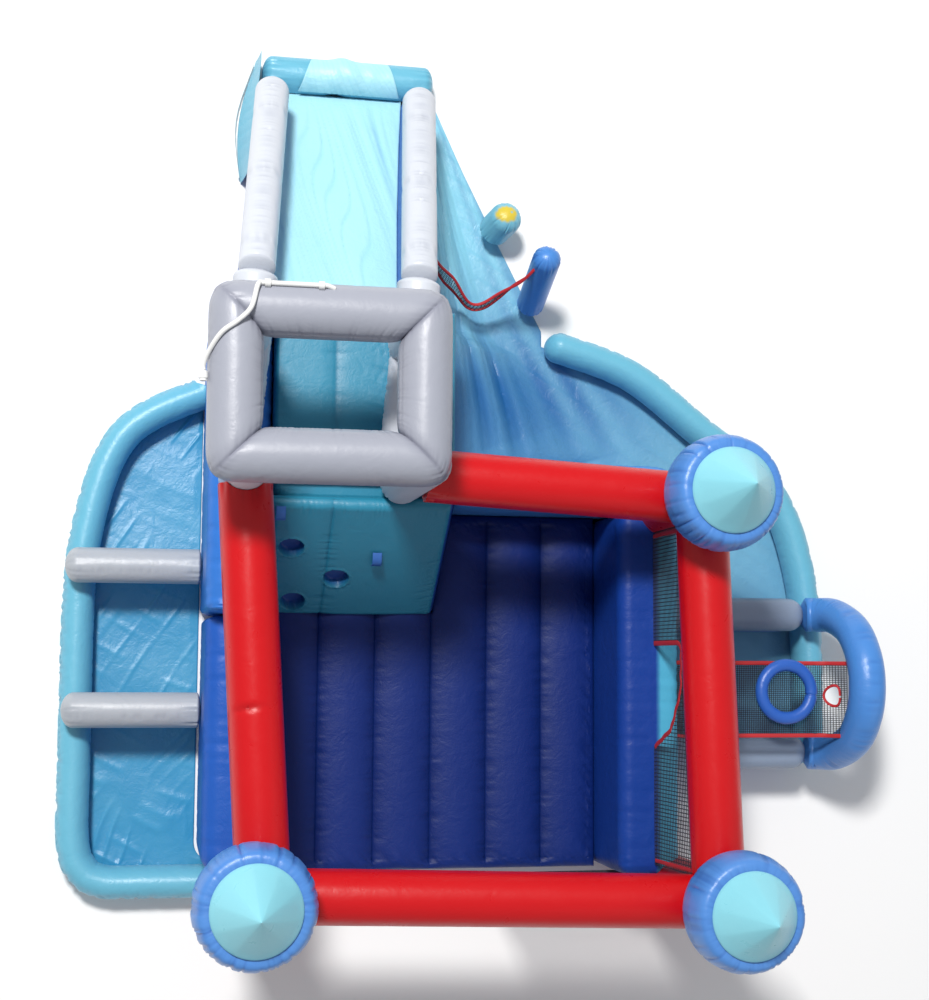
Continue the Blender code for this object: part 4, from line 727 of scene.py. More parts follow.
beams = {
    "radius": 0.14, "height": 1.40, "endReach": 0.07, "endGather": 0.009, "endPitch": 0.045,
    "seamAt": 0.15, "seamWide": 0.08, "seam": 0.003, "seamPitch": 0.06,
    "kink": 0.012, "kinkAt": 0.58, "kinkTurn": 1.9,
    "runs": {
        "left_beam": ("leftBeam", (-1.165, 1.1322), (-1.03, -0.9995), against(0.12, rest=0.07), besideColumn),
        "front_beam": ("frontBeam", columnSpots["front_left"], columnSpots["front_right"], against(0.15, rest=0.03),
            against(0.15, 1.08)),
        "right_beam": ("rightBeam", columnSpots["front_right"], columnSpots["back_right"], against(0.15, 1.08),
            against(0.15, 1)),
        "back_beam": ("backBeam", (-0.2975, 1.1322), columnSpots["back_right"], against(0.12, rest=0.07),
            against(0.15, -1)),
    },
}


def beamSkin(seed):
    # gathered where it is sewn on at both ends, and two long seams
    def shape(s, a, length):
        b = beams
        ends = near(s, b["endReach"]) + near(length - s, b["endReach"])
        seams = (near(angleFrom(a, b["seamAt"]), b["seamWide"])
            + near(angleFrom(a, math.pi - b["seamAt"]), b["seamWide"]))
        slanting = s - length * b["kinkAt"] - 0.05 * (a - b["kinkTurn"])
        # the left beam's one kink
        kink = near(slanting, 0.014) * near(angleFrom(a, b["kinkTurn"]), 0.55) * (seed == 41)
        endFolds = b["endGather"] * ends * gathers(a * b["radius"], seed, b["endPitch"], 2.0)
        return endFolds + b["seam"] * seams * (0.4 + gathers(s, seed + 5, b["seamPitch"])) + b["kink"] * kink
    return shape


for seed, (node, (name, start, end, begin, finish)) in enumerate(beams["runs"].items()):
    cutTube(name, (*start, beams["height"]), (*end, beams["height"]), beams["radius"], begin, finish, beamRed, node,
            beamSkin(seed + 41))
print("stage: castle frame")


# caps and cones

cap = {
    "radius": 0.305, "height": 0.36, "base": 1.5403, "ripple": 0.011, "pitch": 0.030, "inner": 0.004,
    "innerPitch": 0.05, "seam": 0.0022, "places": 74, "around": 180,
    "outline": ((0.05, 0.93), (0.45, 0.955), (0.72, 0.985), (0.90, 0.93), (0.995, 0.62), (0.95, 0.30), (0.77, 0.07),
        (0.55, 0.004), (0.05, 0.0)),
}
cone = {"radius": 0.225, "height": 0.32, "gores": 10, "facet": 0.38, "seam": 0.0010}


def capRings(c, x, y, seed):
    # a fat ring turned round an upright axis; radial creases come in from the outer seam and out from the cone
    outline = smoothLine(c["outline"], 8) * c["radius"]
    p = np.linspace(0, lineLength(outline), c["places"])
    outline = placesOn(outline, p)
    a = turns(c["around"])
    r, z = outline[:, :1], outline[:, 1:] * c["height"] / c["radius"]
    collar = near(r - cone["radius"], 0.035) * (z > 0.2)
    reachIn = np.clip(0.45 + 0.55 * waves(a * c["radius"], seed + 7, 0.16), 0.12, 1)[None]
    fromSeam = np.arange(c["places"])[:, None] - np.argmax(outline[:, 0])
    crease = (c["ripple"] * near(fromSeam + 4, 5.0 + 13.0 * reachIn)
        * gathers(a[None] * c["radius"], seed, c["pitch"], 2.4))
    crease = crease + c["seam"] * near(fromSeam, 1.4)
    crease = crease + c["inner"] * collar * gathers(a[None] * cone["radius"], seed + 1, c["innerPitch"], 2.2)
    soft = np.clip((r - 0.05) / 0.1, 0, 1)
    crease = crease * soft
    full = r - crease * 0.9
    rings = np.stack((x + full * np.cos(a), y + full * np.sin(a), c["base"] + z - crease * 0.5 * collar), -1)
    uvs = crossed(p[:, None], np.linspace(0, tau * c["radius"], c["around"] + 1)[None])
    return rings, uvs, crease


def coneRings(c, x, y, base):
    # flat gores from a round foot to a sharp tip: the radius goes from the circle's to that of a polygon,
    # cos(half gore) / cos(angle from the gore's middle), and a fine seam lies on each ridge
    up = np.linspace(0, 1, 44)
    a = turns(c["gores"] * 14)
    half = math.pi / c["gores"]
    local = (a + 0.2) % (2 * half) - half
    flat = np.cos(half) / np.cos(local)
    share = c["facet"] * np.clip(up * 6, 0, 1)[:, None]
    radius = c["radius"] * (1 - up) ** 0.97
    radius[0] *= 0.985
    valley = c["seam"] * near(np.abs(local) - half, 0.02) * (radius / c["radius"])[:, None]
    full = np.maximum(radius[:, None] * (1 - share + share * flat) - valley, 0.0008)
    z = base + c["height"] * up[:, None] + 0 * a
    rings = np.stack((x + full * np.cos(a), y + full * np.sin(a), z), -1)
    k = np.array([0.3, 0.7, 0.95])[:, None]
    foot = np.stack((x + full[0] * k * np.cos(a), y + full[0] * k * np.sin(a), z[0] + 0 * k), -1)
    rings = np.concatenate([foot, rings])
    p = np.concatenate([[0, 0.05, 0.1], 0.12 + 0.39 * up])
    uvs = crossed(p[:, None], np.linspace(0, tau * c["radius"], len(a) + 1)[None])
    return rings, uvs, np.concatenate([np.zeros((3, len(a))), valley])


for seed, (spot, (x, y)) in enumerate(columnSpots.items()):
    name = titled(spot)
    rings, uvs, crease = capRings(cap, x, y, seed + 61)
    addPiece(name + "Cap", shellMesh(name + "Cap", rings, uvs, crease), capBlue, spot + "_cap")
    rings, uvs, crease = coneRings(cone, x, y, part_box(spot + "_cone")[0][2] + 0.0005)
    addPiece(name + "Cone", shellMesh(name + "Cone", rings, uvs, crease * 0.4), coneAqua, spot + "_cone", sharp=25)
print("stage: caps and cones")


# climbing tower

tower = {
    "left": -0.9947, "right": 0.0053, "deck": 1.0, "footY": 0.4125, "topY": 0.9975, "backY": 2.0925, "footZ": 0.3003,
    "thickness": 0.10, "round": 0.045, "blueUnder": 0.80, "underDeck": 1.036,
    "edge": 0.04, "pull": 0.03, "squareness": 0.18,
}
climb = {
    "pockets": ((0.13, 0.62), (0.40, 0.36), (0.17, 0.14)),
    "pocketRadius": 0.068, "pocketDepth": 0.055, "pocketEdge": 0.0022, "seamAcross": 0.335, "seam": 0.006,
    "valley": 0.004, "cell": 0.008, "sideSeam": 0.022, "crown": 0.012, "lip": 0.004, "fill": 0.85,
}
slope = math.atan2(tower["deck"] - tower["footZ"], tower["topY"] - tower["footY"])


def edgeRound(inset, radius):  # height share of a round edge, from 0 at the edge to 1 past the radius
    return np.sqrt(np.clip(1 - (1 - np.minimum(inset / radius, 1)) ** 2, 0, 1))


def finePlaces(length, step, edge):
    # even places with closer ones at both ends
    closer = edge * (1 - np.cos(np.linspace(0, math.pi / 2, 8)))
    even = np.linspace(0, length, int(length / step) + 1)
    return np.unique(np.round(np.concatenate([even, closer, length - closer]), 5))


def climbingWall(t, c):
    # a sloping pad: out = round edges + a low crown - pockets - seams, taken off its face along the slope's normal
    wide = t["right"] - t["left"]
    face = (t["topY"] - t["footY"]) / math.cos(slope)
    u, v = finePlaces(wide, c["cell"], t["round"]), finePlaces(face, c["cell"], t["round"])
    gu, gv = spread(u, v)
    edge = edgeRound(np.minimum(gu, wide - gu), t["round"]) * edgeRound(np.minimum(gv, face - gv), t["round"])
    toSeam = gu - c["seamAcross"] * wide
    dent = c["seam"] * near(toSeam, 0.006) + c["valley"] * near(toSeam, 0.05)
    dent += 0.003 * near(toSeam, 0.05) * gathers(gv, 71, 0.06, 2.5)
    lowDown = 0.4 + 0.6 * near(gv - 0.25 * face, 0.25)
    dent += 0.007 * near(wide - gu - 0.03, 0.07) * gathers(gv + 0.3 * (wide - gu), 73, 0.07, 2.2) * lowDown
    dent += 0.004 * near(gu - 0.02, 0.06) * gathers(gv, 74, 0.08, 2.2)
    dent += 0.004 * near(face - gv - 0.04, 0.05) * gathers(gu, 75, 0.07, 2.2)
    crown = c["crown"] * (1 - np.abs(np.sin(math.pi * gu / wide)))
    lip, lined = np.zeros_like(gu), np.zeros_like(gu)
    for across, up in c["pockets"]:
        away = np.hypot(gu - across * wide, gv - up * face)
        hole = 1 / (1 + np.exp(-(c["pocketRadius"] - 0.004 - away) / c["pocketEdge"]))
        turn = np.arctan2(gv - up * face, gu - across * wide)
        dent = dent * (1 - hole) + hole * c["pocketDepth"]
        puckers = near(away - c["pocketRadius"] - 0.02, 0.016) * gathers(turn * 0.09, 76, 0.03, 2.0)
        dent += 0.003 * puckers * (away > c["pocketRadius"])
        lip = np.maximum(lip, near(away - c["pocketRadius"] - 0.007, 0.008))
        lined = np.maximum(lined, hole)
    out = -dent - crown - t["thickness"] * 0.5 * (1 - edge) + c["lip"] * (lip - 1)
    normal = np.array((0, -math.sin(slope), math.cos(slope)))
    ahead = np.array((0, math.cos(slope), math.sin(slope)))
    foot = np.array((t["left"], t["footY"], t["footZ"]))
    base = foot + gu[..., None] * np.array((1.0, 0, 0)) + gv[..., None] * ahead
    upper = base + normal * out[..., None]
    # the back lies flat against the tower, drawn in level at top and foot as the pad's solid is
    depth = t["thickness"] * (0.5 + 0.5 * edge) - 0.0012
    lower = base - normal * depth[..., None]
    upper[..., 2] = np.clip(upper[..., 2], t["footZ"] + 0.0005, t["deck"])
    lower[..., 2] = np.clip(lower[..., 2], t["footZ"] + 0.0005, t["deck"])
    # dent depth in the fold attribute: painted shade in the pockets and seams
    fold = np.clip(dent, 0, 0.02) * 0.6
    mesh = slabMesh("climbingWall", upper, lower, np.stack((gu, gv), -1), fold)
    beside = np.maximum(lined, wide - gu < c["sideSeam"])
    paintLiningAndShade(mesh, np.concatenate([beside, beside]))
    return addPiece("climbingWall", mesh, climbAqua, "climbing_wall")


climbingWall(tower, climb)

deck = {"thickness": 0.099, "round": 0.03, "cell": 0.014}


def deckPad(t, d):
    # a flat pad over the tower: low crown, gathered edges, one seam across
    low, high = cornersOf("deck_pad")
    lean = t["thickness"] / math.tan(slope)
    wide, deep = high[0] - low[0], high[1] - low[1] - lean
    u, v = finePlaces(wide, d["cell"], d["round"]), finePlaces(deep, d["cell"], d["round"])
    gu, gv = spread(u, v)
    edge = edgeRound(np.minimum(gu, wide - gu), d["round"]) * edgeRound(np.minimum(gv, deep - gv), d["round"])
    toSeam = gu - climb["seamAcross"] * wide
    dent = climb["seam"] * near(toSeam, 0.008) + climb["valley"] * near(toSeam, 0.05)
    dent += 0.003 * near(toSeam, 0.06) * gathers(gv, 81, 0.06, 2.2)
    dent += 0.006 * near(wide - gu - 0.36, 0.10) * gathers(gv + 0.3 * gu, 82, 0.07, 2.2)
    dent += 0.004 * near(gu, 0.07) * gathers(gv, 83, 0.07)
    half = d["thickness"] / 2
    x, y = gu + low[0], gv + low[1] + lean
    top = high[2] - half + half * edge - dent * edge
    bottom = low[2] + 0.0005 + half - half * edge
    mesh = slabMesh("deckPad", np.stack((x, y, top), -1), np.stack((x, y, bottom), -1), np.stack((gu, gv), -1), dent)
    return addPiece("deckPad", mesh, climbAqua, "deck_pad")


deckPad(tower, deck)


def towerBody(t):
    # the block under the pads: its front slopes with the climbing wall; each height is a rounded oblong
    low, high = cornersOf("tower_body")
    shift = t["thickness"] / math.sin(slope)
    z = finePlaces(high[2] - low[2] - 0.002, 0.03, t["edge"]) + 0.001
    inset = np.minimum(z, high[2] - z)
    pull = t["pull"] * (1 - edgeRound(inset, t["edge"]))
    sloping = np.maximum(t["footY"] + shift + (z - t["footZ"]) / math.tan(slope), 0) + 0.002
    front = np.where(z < t["footZ"] + 0.002, t["underDeck"], sloping)
    a = turns(160)
    bx, by = (np.sign(k) * np.abs(k) ** t["squareness"] for k in (np.cos(a), np.sin(a)))
    middleX, halfX = (t["left"] + t["right"]) / 2, (t["right"] - t["left"]) / 2 - pull
    back = t["backY"] - 0.0005 - pull
    middleY, halfY = (front + pull + back) / 2, (back - front - pull) / 2
    dent = 0.005 * gathers(a * 0.6, 91, 0.07) * near(inset, 0.1)[:, None]
    x = middleX + (halfX[:, None] - dent) * bx
    y = middleY[:, None] + (halfY[:, None] - dent) * by
    rings = np.stack((x, y, np.broadcast_to(z[:, None], x.shape)), -1)
    uvs = crossed(z[:, None], np.linspace(0, 4.2, 161)[None])
    mesh = shellMesh("towerBody", rings, uvs, dent)
    below = np.clip((t["blueUnder"] - rings[..., 2].ravel()) * 30, 0, 1)
    return addPiece("towerBody", paintLiningAndShade(mesh, np.append(below, below[[0, -1]])), climbAqua, "tower_body")


towerBody(tower)

grabStraps = {"left_grab_strap": ("leftGrabStrap", 0.93), "right_grab_strap": ("rightGrabStrap", 0.55)}
strap = {"bow": 0.034, "off": 0.0037, "length": 0.106, "thickness": 0.004}
for node, (name, up) in grabStraps.items():
    # a bowed webbing loop: out = bow * sin over its length, its two ends stitched flat
    low, high = cornersOf(node)
    s = np.linspace(0, 1, 40)
    out = strap["off"] + strap["bow"] * np.sin(math.pi * s) ** 1.1
    face = (tower["topY"] - tower["footY"]) / math.cos(slope)
    run = up * face + (s - 0.5) * strap["length"]
    y = tower["footY"] + run * math.cos(slope) - out * math.sin(slope)
    z = tower["footZ"] + run * math.sin(slope) + out * math.cos(slope)
    w = np.linspace(low[0] + 0.001, high[0] - 0.001, 9)
    points = crossed(w[:, None], y[None], z[None])
    uvs = crossed(w[:, None], run[None])
    thicken(addPiece(name, clothMesh(name, points, uvs), tapeBlue, node), strap["thickness"])
print("stage: tower")


# canopy frame, its posts and hose

canopy = {
    "radius": 0.135, "x": (-1.25, -0.34), "y": (1.1322, 1.8322), "z": 2.0, "cell": 0.010, "around": 96,
    "puff": 0.0035, "pitch": 0.045, "inner": 2.75, "outer": 0.2, "seam": 0.007, "cornerSeam": 0.009,
    "cornerRound": 0.022,
}


def canopyFrame(c):
    # four tubes meeting on the diagonals: a side's place runs from corner to corner, wider outside than inside,
    # so the diagonal cut comes by itself; seams run round the window and along the outer edge
    middle = np.array((sum(c["x"]) / 2, sum(c["y"]) / 2))
    half = np.array(((c["x"][1] - c["x"][0]) / 2, (c["y"][1] - c["y"][0]) / 2))
    a = turns(c["around"])
    rings, uvs, folds, run = [], [], [], 0.0
    for k, (ahead, out) in enumerate((((1, 0), (0, -1)), ((0, 1), (1, 0)), ((-1, 0), (0, 1)), ((0, -1), (-1, 0)))):
        ahead, out = np.array(ahead, float), np.array(out, float)
        reach, off = abs(ahead @ half), abs(out @ half)
        s = np.linspace(-1, 1, int(2 * reach / c["cell"]))[:-1, None]
        toCorner = (1 - np.abs(s)) * reach
        along = s * reach
        atSeam = angleFrom(a, c["inner"])[None]
        inner = near(atSeam, 0.5)
        outer = (near(angleFrom(a, c["outer"]), 0.55)[None]
            * np.clip(0.35 + 0.65 * waves(along + 4 * k, 104, 0.5), 0.05, 1))
        crease = c["puff"] * inner * gathers(along + 5 * k, 101, c["pitch"], 2.4)
        crease = crease + 0.005 * outer * gathers(along + 9 * k + 0.02 * a[None], 102, 0.032, 2.2)
        cornerFolds = 0.004 * near(toCorner, 0.06) * gathers(a[None] * 0.13 + k, 103, 0.05, 2.2)
        crease = crease + c["cornerSeam"] * near(toCorner, 0.010) + 0.006 * near(toCorner, 0.045) + cornerFolds
        # a valley with the weld's ridge in it
        crease = crease + c["seam"] * near(atSeam, 0.045) - 0.004 * near(atSeam, 0.018)
        r = c["radius"] - 0.001 - crease
        wide = r * np.cos(a)[None]
        # the outer corners round off
        rounded = c["cornerRound"] * near(toCorner, 0.06) * np.clip(np.cos(a), 0, 1)[None]
        place = s * (reach + wide - rounded)
        xy = middle + ahead * place[..., None] + out * (off + wide - rounded)[..., None]
        z = c["z"] + r * np.sin(a)[None]
        rings.append(np.concatenate([xy, z[..., None]], -1))
        folds.append(crease)
        uvs.append(crossed(run + along + reach, np.linspace(0, tau * c["radius"], c["around"] + 1)[None]))
        run += 2 * reach
    uvs.append(uvs[0][:1] + (run, 0))
    mesh = ringMesh("canopyFrame", np.concatenate(rings), np.concatenate(uvs), np.concatenate(folds))
    return addPiece("canopyFrame", mesh, frameGrey, "canopy_frame")


canopyFrame(canopy)

posts = {
    "front_left_post": ("frontLeftPost", -1.165, 1.1322, 1.001),
    "front_right_post": ("frontRightPost", -0.2975, 1.1322, 1.001),
    "rear_left_post": ("rearLeftPost", -1.165, 1.8322, 1.30),
    "rear_right_post": ("rearRightPost", -0.2975, 1.8322, 1.30),
}
post = {
    "radius": 0.118, "underRest": 0.046, "railRadius": 0.1212, "railRest": 0.041, "intoRail": 0.08,
    "endGather": 0.006, "pitch": 0.045,
}


def postSkin(seed):
    def shape(s, a, length):
        # gathers at both ends, and one long seam
        ends = near(s, 0.08) + near(length - s, 0.10)
        seam = near(angleFrom(a, 4.0), 0.1) * (0.5 + gathers(s, seed, 0.05))
        return post["endGather"] * ends * gathers(a * 0.12, seed, post["pitch"], 2.2) + 0.002 * seam
    return shape


def underFrame(across, over):
    return np.maximum(halfChord(canopy["radius"] + 0.0012, over), post["underRest"])


def onDeck(across, over):  # the foot's edge rounds off
    return 0.012 * (1 - edgeRound(0.12 - np.hypot(across, over), 0.03))


def onRail(across, over):  # the foot rides on the deck rail
    return np.maximum(halfChord(post["railRadius"], across), post["railRest"]) - post["intoRail"]


for seed, (node, (name, x, y, foot)) in enumerate(posts.items()):
    footing = onRail if "rear" in node else onDeck
    cutTube(name, (x, y, foot), (x, y, canopy["z"]), post["radius"], footing, underFrame, railWhite, node,
            postSkin(seed + 111))

hose = {
    "radius": 0.0125, "angle": 45, "start": 0.55, "end": 0.5, "clips": (0.15, 0.43),
    "rib": 0.0006, "ribPitch": 0.012, "seat": 0.0006,
}


def overLeft(y, angle, off):  # a place round the canopy's left tube, angle from its top outwards
    angle = math.radians(angle)
    return canopy["x"][0] - off * math.sin(angle), y, canopy["z"] + off * math.cos(angle)


def overRear(x, angle, off):  # the same round the rear tube
    angle = math.radians(angle)
    return x, canopy["y"][1] + off * math.sin(angle), canopy["z"] + off * math.cos(angle)


def waterHose(h):
    # from the coupling on the left tube over the rear left corner and along the rear tube, where its end turns in
    off = canopy["radius"] + h["radius"] + h["seat"]
    loose = canopy["radius"] + 0.022 + 2 * h["seat"]
    wide, deep = (canopy[axis][1] - canopy[axis][0] for axis in "xy")
    startY = canopy["y"][0] + deep * h["start"]
    step, bend = deep * 0.04, wide * 0.04
    clipX = [canopy["x"][0] + wide * share for share in h["clips"]]
    endX = canopy["x"][0] + wide * h["end"]
    clippedX = (clipX[0] - bend, clipX[0] - bend * 0.7, sum(clipX) / 2, clipX[1], endX - bend)
    route = [
        overLeft(startY, 75, loose), overLeft(startY + step, 75, loose),
        *(overLeft(startY + k * step, angle, off + h["seat"]) for k, angle in ((3, 62), (6, 30), (8, 0))),
        overRear(canopy["x"][0] + bend * 1.6, -10, off + h["radius"]),
        overRear(clipX[0] - bend * 1.4, 30, off + h["radius"] / 2),
        *(overRear(x, h["angle"], off) for x in clippedX),
        overRear(endX, h["angle"], canopy["radius"] - h["radius"] * 0.2),
    ]
    line = smoothLine(route, 10)
    line = placesOn(line, np.linspace(0, lineLength(line), 160))
    ribs = lambda s, a, length: h["rib"] * (0.5 + 0.5 * np.sin(s * tau / h["ribPitch"])) + 0 * a
    addTube("waterHose", line, h["radius"] - h["seat"] / 2, (0.35, 0.2, 1), hoseWhite, "hose", step=0.003, around=20,
        shape=ribs)


waterHose(hose)

clip = {
    "names": {"left_hose_clip": "leftHoseClip", "right_hose_clip": "rightHoseClip"},
    "radius": 0.0172, "leg": 0.013, "thickness": 0.004,
}
for node, name in clip["names"].items():
    # a strap bent over the hose: its section is a half ring whose feet lie on the frame
    low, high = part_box(node)
    out = np.array((math.sin(math.pi / 4), math.cos(math.pi / 4)))
    side = np.array((math.cos(math.pi / 4), -math.sin(math.pi / 4)))
    centre = np.array((canopy["y"][1], canopy["z"])) + out * (canopy["radius"] + hose["radius"] + hose["seat"])
    a = np.linspace(0, math.pi, 28)
    arcLine = centre + side * clip["radius"] * np.cos(a)[:, None] + out * clip["radius"] * np.sin(a)[:, None]
    feet = [centre + side * clip["radius"] * sign - out * clip["leg"] for sign in (1, -1)]
    line = np.concatenate([feet[:1], arcLine, feet[1:]])
    x = np.linspace(low[0] + 0.0005, high[0] - 0.0005, 8)
    points = crossed(x[:, None], line[None, :, 0], line[None, :, 1])
    uvs = crossed(x[:, None], np.linspace(0, 0.09, len(line))[None])
    thicken(addPiece(name, clothMesh(name, points, uvs), hoseWhite, node), clip["thickness"])

coupling = {
    "ribs": 18, "rib": 0.0011, "long": 0.05,
    "outline": (
        (0.0006, 0.5), (0.014, 0.5), (0.0165, 0.48), (0.0205, 0.40), (0.0218, 0.36), (0.0218, -0.2), (0.0205, -0.26),
        (0.0176, -0.30), (0.0176, -0.48), (0.0165, -0.5), (0.0115, -0.5), (0.0102, -0.47), (0.0100, 0.08),
        (0.0006, 0.1),
    ),
}


def hoseCoupling(c):
    # a turned sleeve, ribbed for the hand over its middle, with a socket in its free end
    low, high = cornersOf("hose_coupling")
    middle = (low + high) / 2
    outline = np.array(c["outline"]) * (1, c["long"])
    dense = placesOn(outline, np.linspace(0, lineLength(outline), 90))
    a = turns(c["ribs"] * 8)
    grip = (np.abs(dense[:, 1] - 0.004) < 0.012) * (dense[:, 0] > 0.02)
    r = dense[:, :1] - c["rib"] * grip[:, None] * (0.5 - 0.5 * np.cos(a * c["ribs"]))[None]
    along = np.broadcast_to(-dense[:, 1:], r.shape)
    rings = np.stack((middle[0] + r * np.cos(a), middle[1] - along, middle[2] + r * np.sin(a)), -1)
    uvs = crossed(np.linspace(0, 0.14, 90)[:, None], np.linspace(0, 0.13, len(a) + 1)[None])
    addPiece("hoseCoupling", shellMesh("hoseCoupling", rings, uvs), hoseWhite, "hose_coupling", "coupling", sharp=35)


hoseCoupling(coupling)
print("stage: canopy")


# slide

slide = {
    "middle": -0.6897, "gauge": 0.87, "top": 2.0928, "foot": 3.5928, "drift": 0.093, "wall": 0.14, "run": 1.5,
    "deckRail": 1.22, "footRail": 0.36, "rail": 0.10, "deckRailRadius": 0.12, "railGather": 0.007, "railKink": 0.004,
    "bedFoot": 0.09, "bedRise": 0.876, "bedSag": 0.32,
}


def driftAt(y):
    return slide["drift"] * (y - slide["top"])


def railHeight(y):
    # level over the deck, then straight down the slope
    share = np.clip((y - slide["top"] - slide["deckRailRadius"]) / (slide["run"] - slide["deckRailRadius"]), 0, 1)
    return slide["deckRail"] + (slide["footRail"] - slide["deckRail"]) * share


def bedHeight(y):
    # a slope that hangs through: foot + rise * (1 - share - sag * share * (1 - share))
    share = np.clip((y - slide["top"]) / slide["run"], 0, 1)
    ease = 1 - share + slide["bedSag"] * share * (share - 1)
    return slide["bedFoot"] + slide["bedRise"] * np.maximum(ease, 0)


def railSkin(seed, pitch=0.06):
    # long seams gathered on the inner and outer side, and soft kinks across where it bends over the slope
    def shape(s, a, length):
        seams = near(angleFrom(a, 0.0), 0.5) + near(angleFrom(a, math.pi), 0.5)
        kinks = near(np.sin((s / length - 0.1) * 9), 0.18) * np.clip(waves(a * 0.5 + s, seed + 2, 0.5) + 0.6, 0, 1)
        return slide["railGather"] * seams * gathers(s, seed, pitch) + slide["railKink"] * kinks
    return shape


for sign, side in ((-1, "left"), (1, "right")):
    x = slide["middle"] + sign * slide["gauge"] / 2
    deckEnd = slide["top"] + slide["deckRailRadius"]
    deckStart = canopy["y"][0] + 0.12 + 0.002
    deckLine = np.array([(x + driftAt(y), y, slide["deckRail"]) for y in (deckStart, deckEnd)])
    addTube(side + "DeckRail", deckLine, slide["deckRailRadius"] - 0.001, (0, 0, 1), railWhite, side + "_deck_rail",
            domes=(0.02, 0.045), shape=railSkin(121 + sign), step=0.012)
    start = deckEnd + 0.003
    level = deckEnd + 0.1
    down = slide["foot"] - 0.05 - level
    y = np.array([start, start + 0.03, level, *(level + down * np.array((0.25, 0.5, 0.75, 1)))])
    line = np.stack((x + driftAt(y), y, railHeight(y)), -1)
    addTube(side + "Rail", smoothLine(line, 10), slide["rail"] - 0.001, (1, 0, 0.0), railWhite, side + "_rail",
            domes=(0.02, 0.085), shape=railSkin(131 + sign), step=0.012)

slideWall = {"edge": 0.05, "pucker": 0.006}
for sign, side in ((-1, "left"), (1, "right")):
    # an upright slab under the rail: along runs down the slope, up from the ground to the rail's underside
    x = slide["middle"] + sign * slide["gauge"] / 2
    onTop = np.linspace(canopy["y"][0] + 0.1222, slide["top"] - 0.001, 40)
    y = np.concatenate([onTop, np.linspace(slide["top"] + 0.001, slide["foot"], 90)])
    onDeck = y < slide["top"]
    bottom = np.where(onDeck, 1.0008, 0.001)
    tubeRadius = np.where(y < slide["top"] + slide["deckRailRadius"], slide["deckRailRadius"], slide["rail"]) + 0.001
    under = np.sqrt(np.maximum(tubeRadius**2 - 0.05**2, 0))
    top = railHeight(y) - under
    v = 0.5 - 0.5 * np.cos(np.linspace(0, math.pi, 36))
    gy, gv = spread(y, v)
    z = bottom[:, None] + (top - bottom)[:, None] * gv
    inset = np.minimum(np.minimum(gv, 1 - gv) * np.maximum(top - bottom, 0.05)[:, None],
                       np.minimum(gy - y[0], y[-1] - gy))
    half = (slide["wall"] / 2 - 0.0008) * (0.35 + 0.65 * edgeRound(inset, slideWall["edge"]))
    fold = slideWall["pucker"] * near((1 - gv) * (top - bottom)[:, None], 0.12) * gathers(gy, 141 + sign, 0.06)
    half = half - fold
    centre = x + driftAt(gy)
    outer = np.stack((centre + half, gy, z), -1)
    inner = np.stack((centre - half, gy, z), -1)
    addPiece(side + "SlideWall", slabMesh(side + "SlideWall", outer, inner, np.stack((gy, z), -1), fold), wallBlue,
             side + "_slide_wall")

ramp = {"wide": 0.7291, "rows": 60, "round": 0.03, "drop": 0.012}


def slideRamp(r):
    # the block under the bed: its top follows the bed's curve and rounds down to its sides
    y = np.linspace(slide["top"] + 0.001, slide["foot"] - 0.001, r["rows"])
    gu, gy = spread(finePlaces(r["wide"], 0.03, r["round"]), y)
    gx = slide["middle"] - r["wide"] / 2 + gu + driftAt(gy)
    top = bedHeight(gy) - 0.004 - r["drop"] * (1 - edgeRound(np.minimum(gu, r["wide"] - gu), r["round"]))
    upper, lower = (np.stack((gx, gy, z), -1) for z in (top, np.full_like(gx, 0.001)))
    addPiece("slideRamp", slabMesh("slideRamp", upper, lower, np.stack((gu, gy), -1)), wallBlue, "slide_ramp")


slideRamp(ramp)

bed = {"wide": 0.7285, "lift": 0.030, "crease": 0.007, "most": 0.034, "above": 0.016}


def slideBed(b):
    # loose cloth over the ramp: long folds that fan from the top right to the foot, deeper towards the middle
    u = np.linspace(0, 1, 84)
    y = np.linspace(slide["top"] + 0.013, slide["foot"] - 0.001, 160)
    gu, gy = spread(u, y)
    v = (gy - slide["top"]) / slide["run"]
    across = b["wide"] * (gu - 0.5)
    edge = np.clip(np.sin(math.pi * gu), 0, 1) ** 0.5 * np.clip(6 * (1 - v), 0, 1)
    line = gu * 2.2 + v * 0.9 + 0.12 * waves(v + gu, 151, 0.9)
    folds = waves(line, 152, 0.75) * 0.5 + 0.5
    creased = gathers(line * 0.4 + v * 0.15, 153, 0.13)
    lift = b["lift"] * edge * (0.35 + 0.65 * np.clip(folds, 0, 1)) - b["crease"] * creased * edge
    z = bedHeight(gy) + b["above"] + np.clip(lift, 0, b["most"])
    points = np.stack((slide["middle"] + across + driftAt(gy), gy, z), -1)
    mesh = clothMesh("slideBed", points, np.stack((across, gy), -1), creased * 0.006 * edge)
    piece = thicken(addPiece("slideBed", mesh, bedAqua, "slide_bed"), 0.003)


slideBed(bed)

bumper = {
    "y": 3.7031, "half": 0.525, "radius": 0.11, "aside": 0.025,
    "waistAt": 0.42, "waist": 0.012, "waistGather": 0.010, "endGather": 0.008, "pitch": 0.05,
}


def bumperSkin(s, a, length):
    # pulled in round a seam in its middle, creased towards it, with gathered ends
    b = bumper
    fromWaist = s - length * b["waistAt"]
    ends = near(s, 0.12) + near(length - s, 0.12)
    waistFolds = near(fromWaist, 0.22) * gathers(a * 0.115, 161, b["pitch"]) * near(angleFrom(a, math.pi / 2), 1.3)
    endFolds = ends * gathers(a * 0.115, 162, b["pitch"])
    return b["waist"] * near(fromWaist, 0.05) + b["waistGather"] * waistFolds + b["endGather"] * endFolds


